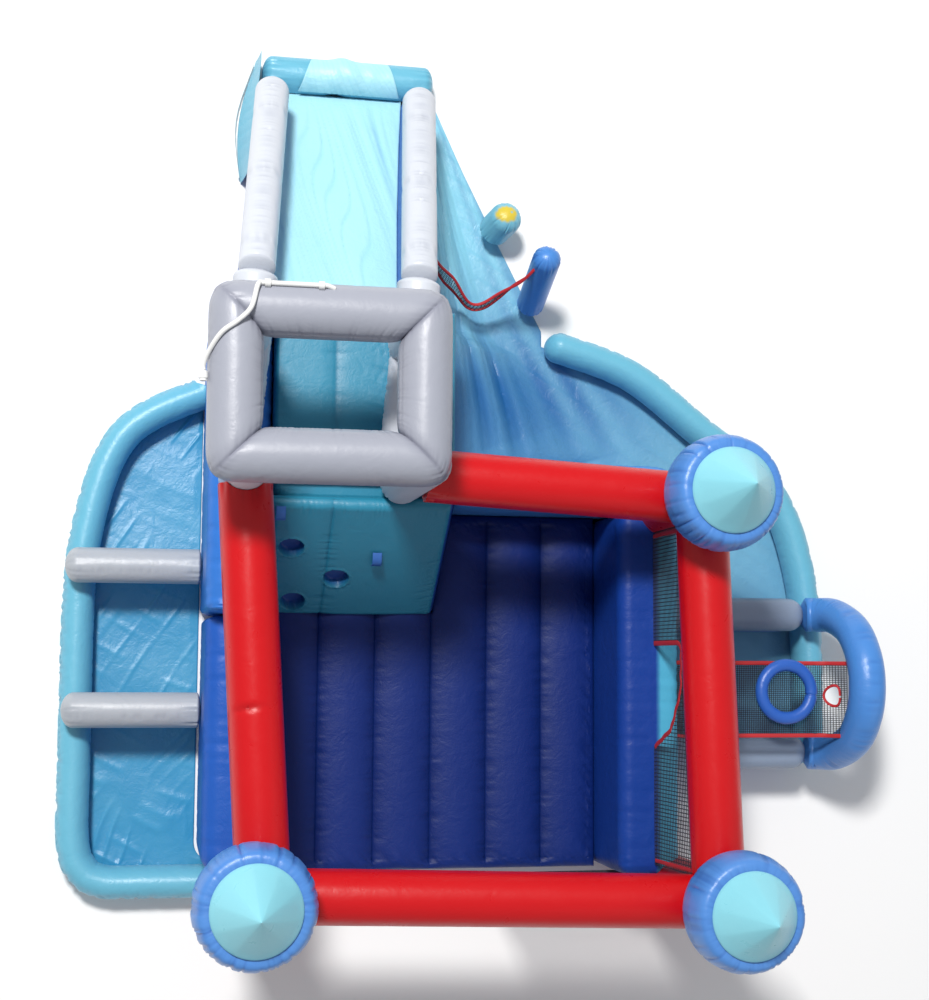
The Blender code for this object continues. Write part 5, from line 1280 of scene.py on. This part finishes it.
middleX = slide["middle"] + driftAt(bumper["y"]) + bumper["aside"]
bumperLine = [(middleX + sign * (bumper["half"] - 0.001), bumper["y"], bumper["radius"]) for sign in (-1, 1)]
addTube("footBumper", bumperLine, bumper["radius"] - 0.001, (0, 0, 1), rimAqua, "foot_bumper", domes=(0.06, 0.06),
    shape=bumperSkin, step=0.012)

flap = {"wide": 0.62, "fold": 0.028, "starts": 158, "spans": 112, "peakAt": 0.4, "off": 0.0085, "crease": 0.0035}


def footFlap(f):
    # the bed's loose end thrown over the bumper: angle runs over the tube, folds stand off it, one tall peak
    u, v = spread(np.linspace(0, 1, 90), np.linspace(0, 1, 60))
    angle = np.radians(f["starts"] - f["spans"] * v)
    ripple = np.sin(math.pi * 4 * u + 2 * v) * np.sin(math.pi * u) * np.sin(math.pi * v)
    peak = near(u - f["peakAt"], 0.13) * v
    creased = gathers(u * 0.6 + v * 0.12, 171, 0.09)
    out = bumper["radius"] + f["off"] + f["fold"] * (0.4 * ripple**2 + 0.75 * peak)
    out = out - f["crease"] * creased * (1 - v) * np.sin(math.pi * u)
    x = middleX + f["wide"] * (u - 0.5) * (1 - 0.25 * v)
    points = np.stack((x, bumper["y"] + out * np.cos(angle), bumper["radius"] + out * np.sin(angle)), -1)
    mesh = clothMesh("footFlap", points, np.stack((u * f["wide"], v * 0.27), -1), creased * 0.004)
    piece = thicken(addPiece("footFlap", mesh, bedAqua, "foot_flap"), 0.003)


footFlap(flap)

apron = {"length": 0.77, "reach": 0.085, "height": 0.32, "wave": 0.010, "piping": 0.005}


def apronPlace(p, u, v):
    # slack cloth from the left wall and the bumper's end to the ground: it stands out as sin, falls as (share)^1.4
    start = bumper["y"] + bumper["radius"] - p["length"]
    y = start + p["length"] * u
    wallSide = slide["middle"] - slide["gauge"] / 2 - slide["wall"] / 2 + driftAt(y)
    edge = np.minimum(wallSide, middleX - bumper["half"]) - 0.002
    reach = p["reach"] * np.sin(math.pi * (0.12 + 0.8 * u))
    fall = np.clip(v - 0.25, 0, 1) / 0.75
    waved = p["wave"] * waves(u, 181, 0.25) * np.sin(math.pi * fall) * np.sin(math.pi * u)
    x = edge - 0.008 - reach * fall**1.4 - np.abs(waved)
    tucked = p["height"] * 0.2 * np.where(v < 0.25, v, 0.25 * (1 - fall))
    z = p["height"] * (1 - 0.4 * u) * (1 - fall) + 0.006 * fall - tucked
    return np.stack((x, y, z), -1), waved


def sideApron(p):
    u, v = spread(np.linspace(0, 1, 110), np.linspace(0, 1, 50))
    points, waved = apronPlace(p, u, v)
    mesh = clothMesh("sideApron", points, np.stack((u * p["length"], v * 0.4), -1), np.abs(waved) * 0.4)
    piece = thicken(addPiece("sideApron", mesh, rimAqua, "side_apron"), 0.003)
    u = np.linspace(0.03, 0.97, 26)
    out = (0.012 + 0.020 * near(u - 0.5, 0.3))[:, None]
    line = smoothLine(apronPlace(p, u, np.full(26, 0.93))[0] - np.array((1, 0, 0)) * out, 4)
    addTube("sideApronPiping", line, p["piping"], (0, 0, 1), hoseWhite, around=12, step=0.01, domes=(0.005, 0.005))


sideApron(apron)
print("stage: slide")


# pools

leftPool = {
    "side": -1.335, "reach": 0.69, "front": -1.09, "rear": 1.765, "radius": 0.094, "tall": 1.263, "z": 0.12,
    "slant": 0.008, "other": 0.006, "swell": 0.007, "inset": 0.66,
    "shares": (
        (-0.1, 1.0), (0.485, 0.933), (0.76, 0.858), (0.927, 0.727), (1.0, 0.574), (1.0, 0.242),
        (0.992, 0.084), (0.905, 0.025), (0.73, 0.002), (0.4, 0.0), (0.13, 0.0),
    ),
}


def rimSkin(seed, inner, depth=0.014):
    # a welded seam along the inner side, its gathers fading over the top, and a fainter one outside
    def shape(s, a, length):
        seam = near(angleFrom(a, inner), 0.16)
        wide = near(angleFrom(a, inner), 0.75)
        outside = near(angleFrom(a, inner + math.pi), 0.5)
        inFolds, outFolds = gathers(s + 0.02 * a, seed, 0.055, 1.9), gathers(s, seed + 1, 0.06, 2.0)
        return 0.009 * seam + depth * wide * inFolds + 0.003 * outside * outFolds
    return shape


def poolLine(pool):
    deep = pool["rear"] - pool["front"]
    places = [(pool["side"] - pool["reach"] * x, pool["front"] + deep * y, pool["z"]) for x, y in pool["shares"]]
    return smoothLine(places, 10)


leftLine = poolLine(leftPool)
inside = leftLine[leftLine[:, 0] < leftPool["side"] - 0.002]
wallAt = np.array((leftPool["side"] - 0.0015, leftPool["rear"], leftPool["z"]))
rimEnd = np.array((-1.238, leftLine[-1, 1], leftPool["z"]))
rimLine = np.concatenate([[wallAt], inside, [rimEnd]])
addTube("leftPoolRim", rimLine, leftPool["radius"], (0, 0, 1), rimAqua, "left_pool_rim", flatten=leftPool["tall"],
        shape=rimSkin(201, math.pi), domes=(0.012, 0.02), step=0.014)


def leftPoolFloor(p):
    # cloth laid inside the rim: across runs from the wall to the rim, creases cross it on the slant
    line = placesOn(inside, np.linspace(0, lineLength(inside), 240))
    ahead = unit(np.gradient(line, axis=0))
    inward = np.cross(ahead, (0, 0, 1.0))
    inward *= np.sign((inward[120] * (1, 0, 0)).sum())
    edge = line + inward * (p["radius"] * p["inset"])
    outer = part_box("left_pool_floor")[0][0]
    edge[:, 0] = np.clip(edge[:, 0], outer + 0.001, p["side"] - 0.004)
    edge[:, 1] = np.clip(edge[:, 1], p["front"] + 0.062, p["rear"] - 0.062)
    v = np.linspace(0, 1, 70)[None, :]
    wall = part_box("left_wall")[0]
    turn = castleWalls["left_wall"]["round"]
    past = np.clip((wall[1] + turn - edge[:, 1:2]) / turn, 0, 1)  # how far past the start of the wall's rounded end
    foot = np.minimum(wall[0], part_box("tower_left_wall")[0][0]) - 0.0035 + 0.8 * turn * (1 - np.sqrt(1 - past**2))
    x = foot + (edge[:, :1] - foot) * v
    y = np.broadcast_to(edge[:, 1:2], x.shape)
    slant = gathers(x * 0.80 - y * 0.55 + 0.03 * waves(y, 212, 1.1), 211, 0.26, 2.8)
    slant = slant * np.clip(0.4 + 0.8 * waves(y + 1.5 * x, 215, 0.9), 0, 1)
    other = gathers(y * 0.85 + x * 0.45 + 0.03 * waves(x, 216, 0.7), 213, 0.36, 3.0)
    other = other * np.clip(0.3 + 0.8 * waves(y - x, 217, 0.8), 0, 1)
    swell = waves(x * 0.6 + y, 214, 0.6) * 0.5 + 0.5
    lift = p["slant"] * slant + p["other"] * other + p["swell"] * swell
    z = 0.003 + lift * np.clip((1 - v) * 12, 0, 1) * np.clip(v * 12, 0, 1)
    points = np.stack((x, y, z), -1)
    # the fold attribute here is painted shade: darker on the low cloth between the raised creases
    mesh = clothMesh("leftPoolFloor", points, np.stack((x, y), -1), 0.004 * (1 - slant) * (1 - other))
    piece = thicken(addPiece("leftPoolFloor", mesh, poolAqua, "left_pool_floor"), 0.002)
    wide, deep = float(x.max() - x.min()), float(y.max() - y.min())


leftPoolFloor(leftPool)

leftBars = {"left_rear_bar": ("leftRearBar", -1.3360, 0.6925), "left_front_bar": ("leftFrontBar", -1.3263, -0.1155)}
for seed, (node, (name, x, y)) in enumerate(leftBars.items()):
    def barSkin(s, a, length, seed=seed):
        # gathers at both ends, and a seam with small ones on its upper side
        ends = near(s, 0.08) + 0.7 * near(length - s, 0.12)
        seam = near(angleFrom(a, 1.2), 0.2) * gathers(s, seed + 225, 0.07)
        return 0.009 * ends * gathers(a * 0.1, seed + 221, 0.04) + 0.004 * seam
    low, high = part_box(node)
    middleZ = (low[2] + high[2]) / 2
    addTube(name, [(x - 0.001, y, middleZ), (low[0] + 0.001, y, middleZ)], 0.099, (0, 0, 1), barGrey, node,
            domes=(0.02, 0.07), shape=barSkin, step=0.012)

rightPool = {
    "left": 0.0053, "front": -0.45, "wide": 2.4, "deep": 2.57, "toFoot": 4.0428,
    "radius": 0.094, "tall": 1.263, "z": 0.12,
    "shares": (
        (0.301, 1.0), (0.526, 0.93), (0.717, 0.798), (0.86, 0.70), (0.938, 0.60), (0.985, 0.45), (1.0, 0.30),
        (1.0, 0.10), (1.0, 0.0),
    ),
}
rightNodes = [(rightPool["left"] + rightPool["wide"] * x, rightPool["front"] + rightPool["deep"] * y, rightPool["z"])
              for x, y in rightPool["shares"]]
rightLine = smoothLine(rightNodes, 10)
rimStops = smoothLine(rightNodes, 3)
addTube("rightPoolRim", rightLine, rightPool["radius"], (0, 0, 1), rimAqua, "right_pool_rim",
        flatten=rightPool["tall"], shape=rimSkin(231, 0.0), domes=(0.09, 0.09), step=0.014)


def sheetStations():
    # pairs of places, by the slide or castle and by the rim or free edge, with how far the cloth rises at each
    face = slide["middle"] + slide["gauge"] / 2 + slide["wall"] / 2 + 0.010
    towerX, wallX, columnX, backY, rearY = 0.0153, 1.3653, 1.4305, 1.3128, 2.215
    freeY = slide["foot"] + 0.0825
    wide = rimStops[0, 0] - rightPool["left"]
    onSlide = lambda share: (face + driftAt(slide["top"] + slide["run"] * share), slide["top"] + slide["run"] * share)
    free = lambda share: (rightPool["left"] + wide * share, freeY + (rearY - freeY) * share**0.94)
    rim = lambda i: tuple(rimStops[i, :2])
    rows = (
        (onSlide(0.99), free(0.0), 0.12), (onSlide(0.75), free(0.3), 0.45), (onSlide(0.5), free(0.58), 0.8),
        (onSlide(0.25), free(0.82), 1.0), (onSlide(0.04), free(1.0), 1.0),
        ((towerX, slide["top"] + 0.01), rim(0), 1.0), ((towerX, 2.0525), rim(1), 1.0),
        ((towerX, (2.0925 + backY) / 2), rim(2), 1.0), ((towerX, backY), rim(4), 0.9),
        (((towerX + wallX) / 2 - 0.005, backY), rim(6), 0.0), ((wallX, backY), rim(8), 0.0),
        ((columnX, 1.1525), rim(9), 0.0), ((columnX, 0.9125), rim(11), 0.0), ((wallX, 0.8225), rim(13), 0.0),
        ((wallX, 0.4615), rim(16), 0.0), ((wallX, rightPool["front"]), rim(-1), 0.0),
    )
    return np.array([(*a, *b, rise) for a, b, rise in rows])


sheetFolds = {"x": -0.06, "y": 3.80, "pitch": 0.085, "lift": 0.042, "crease": 0.010, "climbs": 0.46, "puddle": 0.005}


def rightPoolSheet():
    # the pool's ground cloth, which climbs the slide's side and the tower: folds run out from there and flatten
    rows = sheetStations()
    u = np.linspace(0, len(rows) - 1, 420)
    at = np.stack([np.interp(u, np.arange(len(rows)), rows[:, i]) for i in range(5)], -1)
    v = np.linspace(0, 1, 90)[None]
    x = at[:, :1] + (at[:, 2:3] - at[:, :1]) * v
    y = at[:, 1:2] + (at[:, 3:4] - at[:, 1:2]) * v
    rise = at[:, 4:5]
    climbShare = np.clip(1 - v / 0.62, 0, 1)
    ray = np.arctan2(x - sheetFolds["x"], sheetFolds["y"] - y)  # the folds' direction from the slide's foot
    fan = waves(ray + 0.02 * np.sin(3 * y), 241, sheetFolds["pitch"], count=5, spread=0.35) * 0.5 + 0.5
    creased = gathers(ray + 0.03 * np.sin(2 * y + 1), 242, sheetFolds["pitch"] * 0.8, 2.2)
    onSlope = np.sin(math.pi * np.clip(climbShare, 0, 1)) * rise
    flatPart = gathers(x * 0.6 + y, 243, 0.3) * np.clip(1 - onSlope * 2, 0, 1)
    edge = np.clip(v * 10, 0, 1) * np.clip((1 - v) * 8, 0, 1)
    folded = onSlope * (sheetFolds["lift"] * np.clip(fan, 0, 1) - sheetFolds["crease"] * creased)
    z = 0.009 + sheetFolds["climbs"] * rise * climbShare**1.7 + edge * (folded + sheetFolds["puddle"] * flatPart)
    points = np.stack((x, y, z), -1)
    mesh = clothMesh("rightPoolSheet", points, np.stack((x, y), -1), 0.006 * creased * onSlope + 0.002 * flatPart)
    # painted shadow over the sheet's middle, a painted lit band along the slide, and painted shade in the troughs
    # between folds
    shaded = near(np.hypot((x - 0.50) / 0.75, (y - 1.75) / 0.55), 1.0)
    paintedLitBand = np.clip((y - 1.9) * 1.2, 0, 1) * np.clip(1.5 - v * 1.3, 0, 1)
    foldTroughShade = (0.5 - fan) * np.clip((y - 1.3) * 2, 0, 1)
    paintLiningAndShade(mesh, np.clip(0.42 + 0.5 * shaded - 0.55 * paintedLitBand + 0.30 * foldTroughShade, 0, 1))
    piece = thicken(addPiece("rightPoolSheet", mesh, sheetAqua, "right_pool_sheet"), 0.003)


rightPoolSheet()
print("stage: pools")


# goal, ring and nets

goal = {"rear": 0.4615, "front": -0.3655, "end": 2.2853, "under": 0.30, "barRound": 0.09}
for seed, (node, name) in enumerate((("right_rear_bar", "goalRearBar"), ("right_front_bar", "goalFrontBar"))):
    low, high = cornersOf(node)
    def drawn(place, share, half, seed=seed):
        # gathers at both ends, and a waist where the white tube meets the blue wall under it
        ends = near(1 - np.abs(share[..., 0]), 0.16)
        dent = 0.008 * ends * gathers(place[..., 2] + place[..., 1], seed + 251, 0.05)
        dent = dent + 0.005 * near(place[..., 2] - 0.05, 0.03)
        return place * np.stack((np.ones_like(dent), 1 - dent / half[1], 1 - dent / half[2] * 0.4), -1)
    rings, uvs = softBox(low + gap, high - gap, goal["barRound"], 0, step=0.014, crown=0.0, pinch=drawn)
    mesh = shellMesh(name, rings, uvs)
    under = np.clip((goal["under"] - rings[..., 2].ravel()) * 40, 0, 1)
    paintLiningAndShade(mesh, np.append(under, under[[0, -1]]))
    addPiece(name, mesh, goalShadedGrey, node)

arch = {
    "radius": 0.104, "reach": 0.16, "height": 0.90, "foot": 0.3456,
    "inner": 3.9, "outer": 0.76, "gather": 0.014, "pitch": 0.036,
}


def goalArchLine(g, h):
    # half of it as shares of its reach, half width and rise, then the same mirrored
    rise, middle, half = h["height"] - h["foot"], (g["rear"] + g["front"]) / 2, (g["rear"] - g["front"]) / 2
    shares = ((0.02, 1.0, 0.0), (0.1, 1.0, 0.0), (0.55, 1.0, 0.05), (0.9, 0.97, 0.28), (1.0, 0.75, 0.68),
        (1.0, 0.38, 0.93))
    end = g["end"]
    rear = [(end + h["reach"] * x, middle + half * y, h["foot"] + rise * z) for x, y, z in shares]
    front = [(x, 2 * middle - y, z) for x, y, z in rear[::-1]]
    return smoothLine([*rear, (end + h["reach"], middle, h["height"]), *front], 8)


def archSkin(s, a, length):
    # gathers on the inside of the bend, a seam there, and fewer gathers outside
    inner, outer = angleFrom(a, arch["inner"]), angleFrom(a, arch["outer"])
    inFolds = arch["gather"] * near(inner, 0.8) * gathers(s, 261, arch["pitch"], 1.9)
    return inFolds + 0.005 * near(inner, 0.12) + 0.006 * near(outer, 0.5) * gathers(s, 262, 0.05, 2.0)


addTube("goalArch", goalArchLine(goal, arch), arch["radius"], (-1, 0, 1), archBlue, "goal_arch", shape=archSkin,
    domes=(0.03, 0.03), step=0.012)

hoop = {
    "centre": (2.035, 0.003, 0.6966), "radius": 0.153, "tube": 0.0365, "flatten": 0.89, "gather": 0.0025,
    "seam": 0.007, "seamAt": -0.12, "steps": 180, "around": 40,
}


def hoopRing(h):
    # a ring of soft tube: one flat seam across it and gathers along its inner edge
    t, a = turns(h["steps"])[:, None], turns(h["around"])[None]
    crease = h["gather"] * near(angleFrom(a, math.pi), 0.8) * gathers(t * h["radius"], 271, 0.028)
    crease = crease + h["seam"] * near(angleFrom(t, h["seamAt"]), 0.03)
    r = h["tube"] - crease
    out = h["radius"] + r * np.cos(a)
    points = np.array(h["centre"]) + np.stack((out * np.cos(t), out * np.sin(t), h["flatten"] * r * np.sin(a)), -1)
    along, across = (np.linspace(0, tau * h[r], h[n] + 1) for r, n in (("radius", "steps"), ("tube", "around")))
    mesh = ringMesh("hoopRing", points, crossed(along[:, None], across[None]), crease)
    addPiece("hoopRing", mesh, ringBlue, "hoop_ring", "hoop")


hoopRing(hoop)


def netMesh(name, point, columns, rows, strand, keep=None, segments=None):
    # thin ribbons in both directions over a surface given by point(u, v); keep drops the parts outside its mask
    pieces = []
    steps = segments or 2 * max(columns, rows)
    for lines, flip in ((columns + 1, False), (rows + 1, True)):
        at = np.linspace(0.0005, 0.9995, lines)[:, None]
        run = np.linspace(0, 1, steps + 1)[None]
        for offset in (-0.5, 0.5):
            u, v = np.broadcast_arrays(run, at) if flip else np.broadcast_arrays(at, run)
            stepU, stepV = (0, 1e-3) if flip else (1e-3, 0)
            beside = point(u + stepU, v + stepV) - point(u - stepU, v - stepV)
            pieces.append((point(u, v) + unit(beside) * strand * offset, u, v))
    points, quads, count = [], [], 0
    for k in (0, 2):
        left, right = pieces[k], pieces[k + 1]
        lines = left[0].shape[0]
        grid = np.stack((left[0], right[0]), 2)
        index = count + np.arange(grid[..., 0].size).reshape(lines, steps + 1, 2)
        cells = np.stack((index[:, :-1, 0], index[:, :-1, 1], index[:, 1:, 1], index[:, 1:, 0]), -1)
        if keep is not None:
            u, v = ((places[:, :-1] + places[:, 1:]) / 2 for places in left[1:])
            cells = cells[keep(u, v)]
        quads.append(cells.reshape(-1, 4))
        points.append(grid.reshape(-1, 3))
        count += grid[..., 0].size
    points, quads = np.concatenate(points), np.concatenate(quads)
    uvs = points[quads][..., [0, 1]] + points[quads][..., [2, 2]]
    return writeMesh(name, points, quads, uvs, solid=False)


def tape(name, line, reference, finish, width=0.024, thickness=0.006, nodes=(), step=0.012):
    # a bound edge: a flat tube along a line, wide one way and thin the other
    flatten = thickness / width
    rings, uvs = tubeRings(smoothLine(line, 8), width / 2, reference, step=step, around=16, flatten=flatten)[:2]
    return addPiece(name, shellMesh(name, rings, uvs), finish, nodes)


castleNets = {"pitch": 0.021, "strand": 0.0044, "thickness": 0.0022}


def hangNet(name, node, point, columns, rows, strand=castleNets["strand"], keep=None, segments=None):
    mesh = netMesh(name, point, columns, rows, strand, keep, segments)
    thicken(addPiece(name, mesh, netBlack, node, sharp=0), castleNets["thickness"])


sideNet = {
    "footX": 1.195, "backY": 0.9055, "frontY": -0.959, "low": 0.8012, "high": 1.291, "inside": 0.095,
    "holeBack": 0.275, "holeFront": -0.305, "holeTop": 0.90,
}


def rightNetPoint(u, v):
    # ruled from the wall's top to the slanted beam: x = foot + (beam - foot) * v, y runs from back to front
    y = sideNet["backY"] + (sideNet["frontY"] - sideNet["backY"]) * u
    (frontX, frontY), (backX, backY) = columnSpots["front_right"], columnSpots["back_right"]
    underBeam = backX + (frontX - backX) * (y - backY) / (frontY - backY) - sideNet["inside"]
    x = sideNet["footX"] + (underBeam - sideNet["footX"]) * v
    return np.stack((x, y + 0 * v, sideNet["low"] + (sideNet["high"] - sideNet["low"]) * v), -1)


def holeEdge(t):
    # the opening's edge, upright at the back and bowed down to the front: t runs from its back foot over the top
    stops = (0, 0.28, 0.34, 0.40, 0.6, 0.8, 1.0)
    across = np.interp(t, stops, (0, 0, 0.02, 0.09, 0.45, 0.82, 1.0))
    up = np.interp(t, stops, (0, 0.88, 0.97, 1.0, 0.93, 0.55, 0.0))
    y = sideNet["holeBack"] + (sideNet["holeFront"] - sideNet["holeBack"]) * across
    return (y - sideNet["backY"]) / (sideNet["frontY"] - sideNet["backY"]), 0.02 + (sideNet["holeTop"] - 0.02) * up


def besideWindow(u, v):  # outside the opening, read off its own edge
    edgeU, edgeV = holeEdge(np.linspace(0.3, 1, 60))
    return ~((u > edgeU[0]) & (u < edgeU[-1]) & (v < np.interp(u, edgeU, edgeV)))


columns = int((sideNet["backY"] - sideNet["frontY"]) / castleNets["pitch"])
rows = int((sideNet["high"] - sideNet["low"]) / castleNets["pitch"])
hangNet("rightNet", "right_net", rightNetPoint, columns, rows, keep=besideWindow, segments=columns)
t = np.linspace(0, 1, 46)
hemU, hemV = holeEdge(t)
hem = rightNetPoint(hemU, hemV + 0.012 * np.sin(t * 70) * (t > 0.35))
tape("rightNetHem", hem, (1, 0, 0), tapeRed, 0.028, 0.008)
for name, u in (("rightNetBackTrim", 0.012), ("rightNetFrontTrim", 0.988)):
    tape(name, rightNetPoint(np.full(12, u), np.linspace(0.02, 0.98, 12)), (1, 0, 0), tapeRed, 0.022, 0.007)
low, high = cornersOf("front_net")


def frontNetPoint(u, v):  # an upright plane over the node's box
    x, z = low[0] + (high[0] - low[0]) * u, low[2] + (high[2] - low[2]) * v
    return np.stack((x, np.full_like(u, (low[1] + high[1]) / 2), z), -1)


hangNet("frontNet", "front_net", frontNetPoint, 42, 44, segments=44)

goalNet = {"z": 0.66, "strand": 0.0034, "columns": 88, "rows": 38}
low, high = cornersOf("goal_net")


def goalNetPoint(u, v):
    # level in its middle, rising as share^2 to the castle's wall and in a straight slope to the arch
    x = low[0] + (high[0] - low[0]) * u
    flatStart, flatEnd = low[0] + (high[0] - low[0]) * 0.3, low[0] + (high[0] - low[0]) * 0.90
    toWall = np.clip((flatStart - x) / (flatStart - low[0]), 0, 1)
    toArch = np.clip((x - flatEnd) / (high[0] - flatEnd), 0, 1)
    z = goalNet["z"] + 0.04 * toWall**2 + 0.125 * toArch
    return np.stack((x, (low[1] + high[1]) / 2 + (high[1] - low[1]) * (v - 0.5), z), -1)


goalHole = {"x": 2.312, "y": -0.020, "wide": 0.033, "tall": 0.060, "bend": 0.35}


def besideGoalHole(u, v):  # outside a kidney-shaped gap: an oval bent by the square of its height
    x, y = np.moveaxis(goalNetPoint(u, v)[..., :2], -1, 0)
    up = (y - goalHole["y"]) / goalHole["tall"]
    across = (x - goalHole["x"]) / goalHole["wide"] - goalHole["bend"] * up**2
    return across**2 + up**2 >= 1


hangNet("goalNet", "goal_net", goalNetPoint, goalNet["columns"], goalNet["rows"], goalNet["strand"],
        besideGoalHole, 110)
turn = np.linspace(0, tau, 33)
holeX = goalHole["x"] + goalHole["wide"] * (np.cos(turn) + goalHole["bend"] * np.sin(turn) ** 2)
holeY = goalHole["y"] + goalHole["tall"] * np.sin(turn)
holeU = (holeX - low[0]) / (high[0] - low[0])
holeV = (holeY - (low[1] + high[1]) / 2) / (high[1] - low[1]) + 0.5
tape("goalHoleHem", goalNetPoint(holeU[:-1], holeV[:-1]), (0, 0, 1), tapeRed, 0.016, 0.007)
for edge, name in ((0.0, "goalNetFrontTrim"), (1.0, "goalNetRearTrim")):
    u = np.linspace(0, 1, 24)
    tape(name, goalNetPoint(u, np.full(24, edge)), (0, 0, 1), tapeRed, 0.024, 0.008)
print("stage: goal and nets")


# loose posts and the slack net

loosePosts = {
    "volley_post": ("volleyPost", (0.2645, 0.6885), (0.25, 0.7377), 0.70, 0.084, archBlue),
    "stub_post": ("stubPost", (0.152, 0.80), (0.1907, 0.8211), 0.35, 0.099, stubAqua),
}


def poolPlace(x, y, z):  # shares of the right pool's width and of its length down to the slide's foot
    return np.array((rightPool["left"] + rightPool["wide"] * x, rightPool["front"] + rightPool["toFoot"] * y, z))


stubPatch = {"off": (-0.02, 0.0, 0.06), "size": (0.075, 0.055, 0.08)}
postLines = {}
for seed, (node, (name, foot, head, height, radius, finish)) in enumerate(loosePosts.items()):
    footAt, headAt = (poolPlace(x, y, z) for (x, y), z in ((foot, 0.0), (head, height)))
    postLines[node] = (footAt, headAt)
    ahead = unit(headAt - footAt)
    base = footAt + ahead * ((0.010 - footAt[2]) / ahead[2])
    def loose(s, a, length, seed=seed):
        # gathers round the foot and below the head, and one long seam
        footFolds = near(s, 0.1) * gathers(a * 0.09, 281 + seed, 0.04)
        headFolds = near(length - s - 0.05, 0.07) * gathers(a * 0.09, 285 + seed, 0.04)
        return 0.007 * footFolds + 0.008 * headFolds + 0.003 * near(angleFrom(a, 2.0), 0.12)
    line = np.array([base + ahead * radius * 0.9, headAt - ahead * 0.001])
    rings, uvs, dent = tubeRings(line, radius, (0, 1, 0), domes=(0.03, radius * 0.9), shape=loose, step=0.008)
    mesh = shellMesh(name, rings, uvs, dent)
    if node == "stub_post":  # an oval patch near its top
        fromPatch = rings - headAt + ahead * 0.05 - np.array(stubPatch["off"])
        inPatch = np.linalg.norm(fromPatch / np.array(stubPatch["size"]), axis=-1)
        paintLiningAndShade(mesh, np.append(np.clip((1 - inPatch.ravel()) * 9, 0, 1), (0, 0)))
    addPiece(name, mesh, finish, node)

volley = {
    "start": 0.29, "startHigh": 0.70, "tied": 0.85, "hang": (0, -0.25, -0.46), "tall": 0.15, "ripple": 0.012,
    "sag": ((0.0, 0.0), (0.27, 0.48), (0.5, 0.85), (0.72, 0.62), (0.93, 0.12)),
}
startY = slide["top"] + slide["run"] * volley["start"]
startX = slide["middle"] + slide["gauge"] / 2 + slide["wall"] / 2 + driftAt(startY) + 0.0024
start = np.array((startX, startY, volley["startHigh"]))
footAt, headAt = postLines["volley_post"]
tied = footAt + (headAt - footAt) * volley["tied"]
sag = np.array(volley["sag"])
volleyLine = smoothLine(start + (tied - start) * sag[:, :1] + np.array(volley["hang"]) * sag[:, 1:], 12)


def volleyPoint(u, v):
    # the slack line, with the net's height added upright and a sine's ripple across it
    place = placesOn(volleyLine, np.clip(u, 0, 1) * lineLength(volleyLine))
    place[..., 2] += volley["tall"] * (v - 0.5)
    place[..., 1] += volley["ripple"] * np.sin(u * 17 + v * 2)
    return place


hangNet("volleyNet", "volley_net", volleyPoint, 44, 7, segments=60)
for edge, name in ((0.0, "volleyNetFootTrim"), (1.0, "volleyNetHeadTrim")):
    u = np.linspace(0, 1, 30)
    tape(name, volleyPoint(u, np.full(30, edge)), (0, 0, 1), tapeRed, 0.018, 0.010)

inlet = {
    "radius": 0.0795, "gather": 0.0012, "pitch": 0.02,
    "outline": ((0, 1.0), (0.35, 0.992), (0.8, 0.99), (0.93, 1.0), (1.0, 0.965), (0.96, 0.93), (0.6, 0.925),
        (0, 0.92)),
}


def blowerInlet(i):
    # a cloth sleeve for the blower's hose: outer and inner skin joined in a rolled hem, with gathers at the wall
    low, high = cornersOf("blower_inlet_collar")
    y, z = (low[1] + high[1]) / 2, (low[2] + high[2]) / 2
    length = high[0] - low[0]
    outline = smoothLine(i["outline"], 6)
    a = turns(72)
    crease = i["gather"] * gathers(a * 0.08, 291, i["pitch"]) * near(outline[:, :1], 0.5)
    r = i["radius"] * outline[:, 1:] - crease
    x = np.broadcast_to(low[0] + length * outline[:, :1], r.shape)
    rings = np.stack((x, y + r * np.cos(a), z + r * np.sin(a)), -1)
    uvs = crossed(np.linspace(0, 0.15, len(outline) + 1)[:, None], np.linspace(0, 0.5, 73)[None])
    addPiece("blowerInlet", ringMesh("blowerInlet", rings, uvs), wallBlue, "blower_inlet_collar")


blowerInlet(inlet)
print("stage: loose pieces")
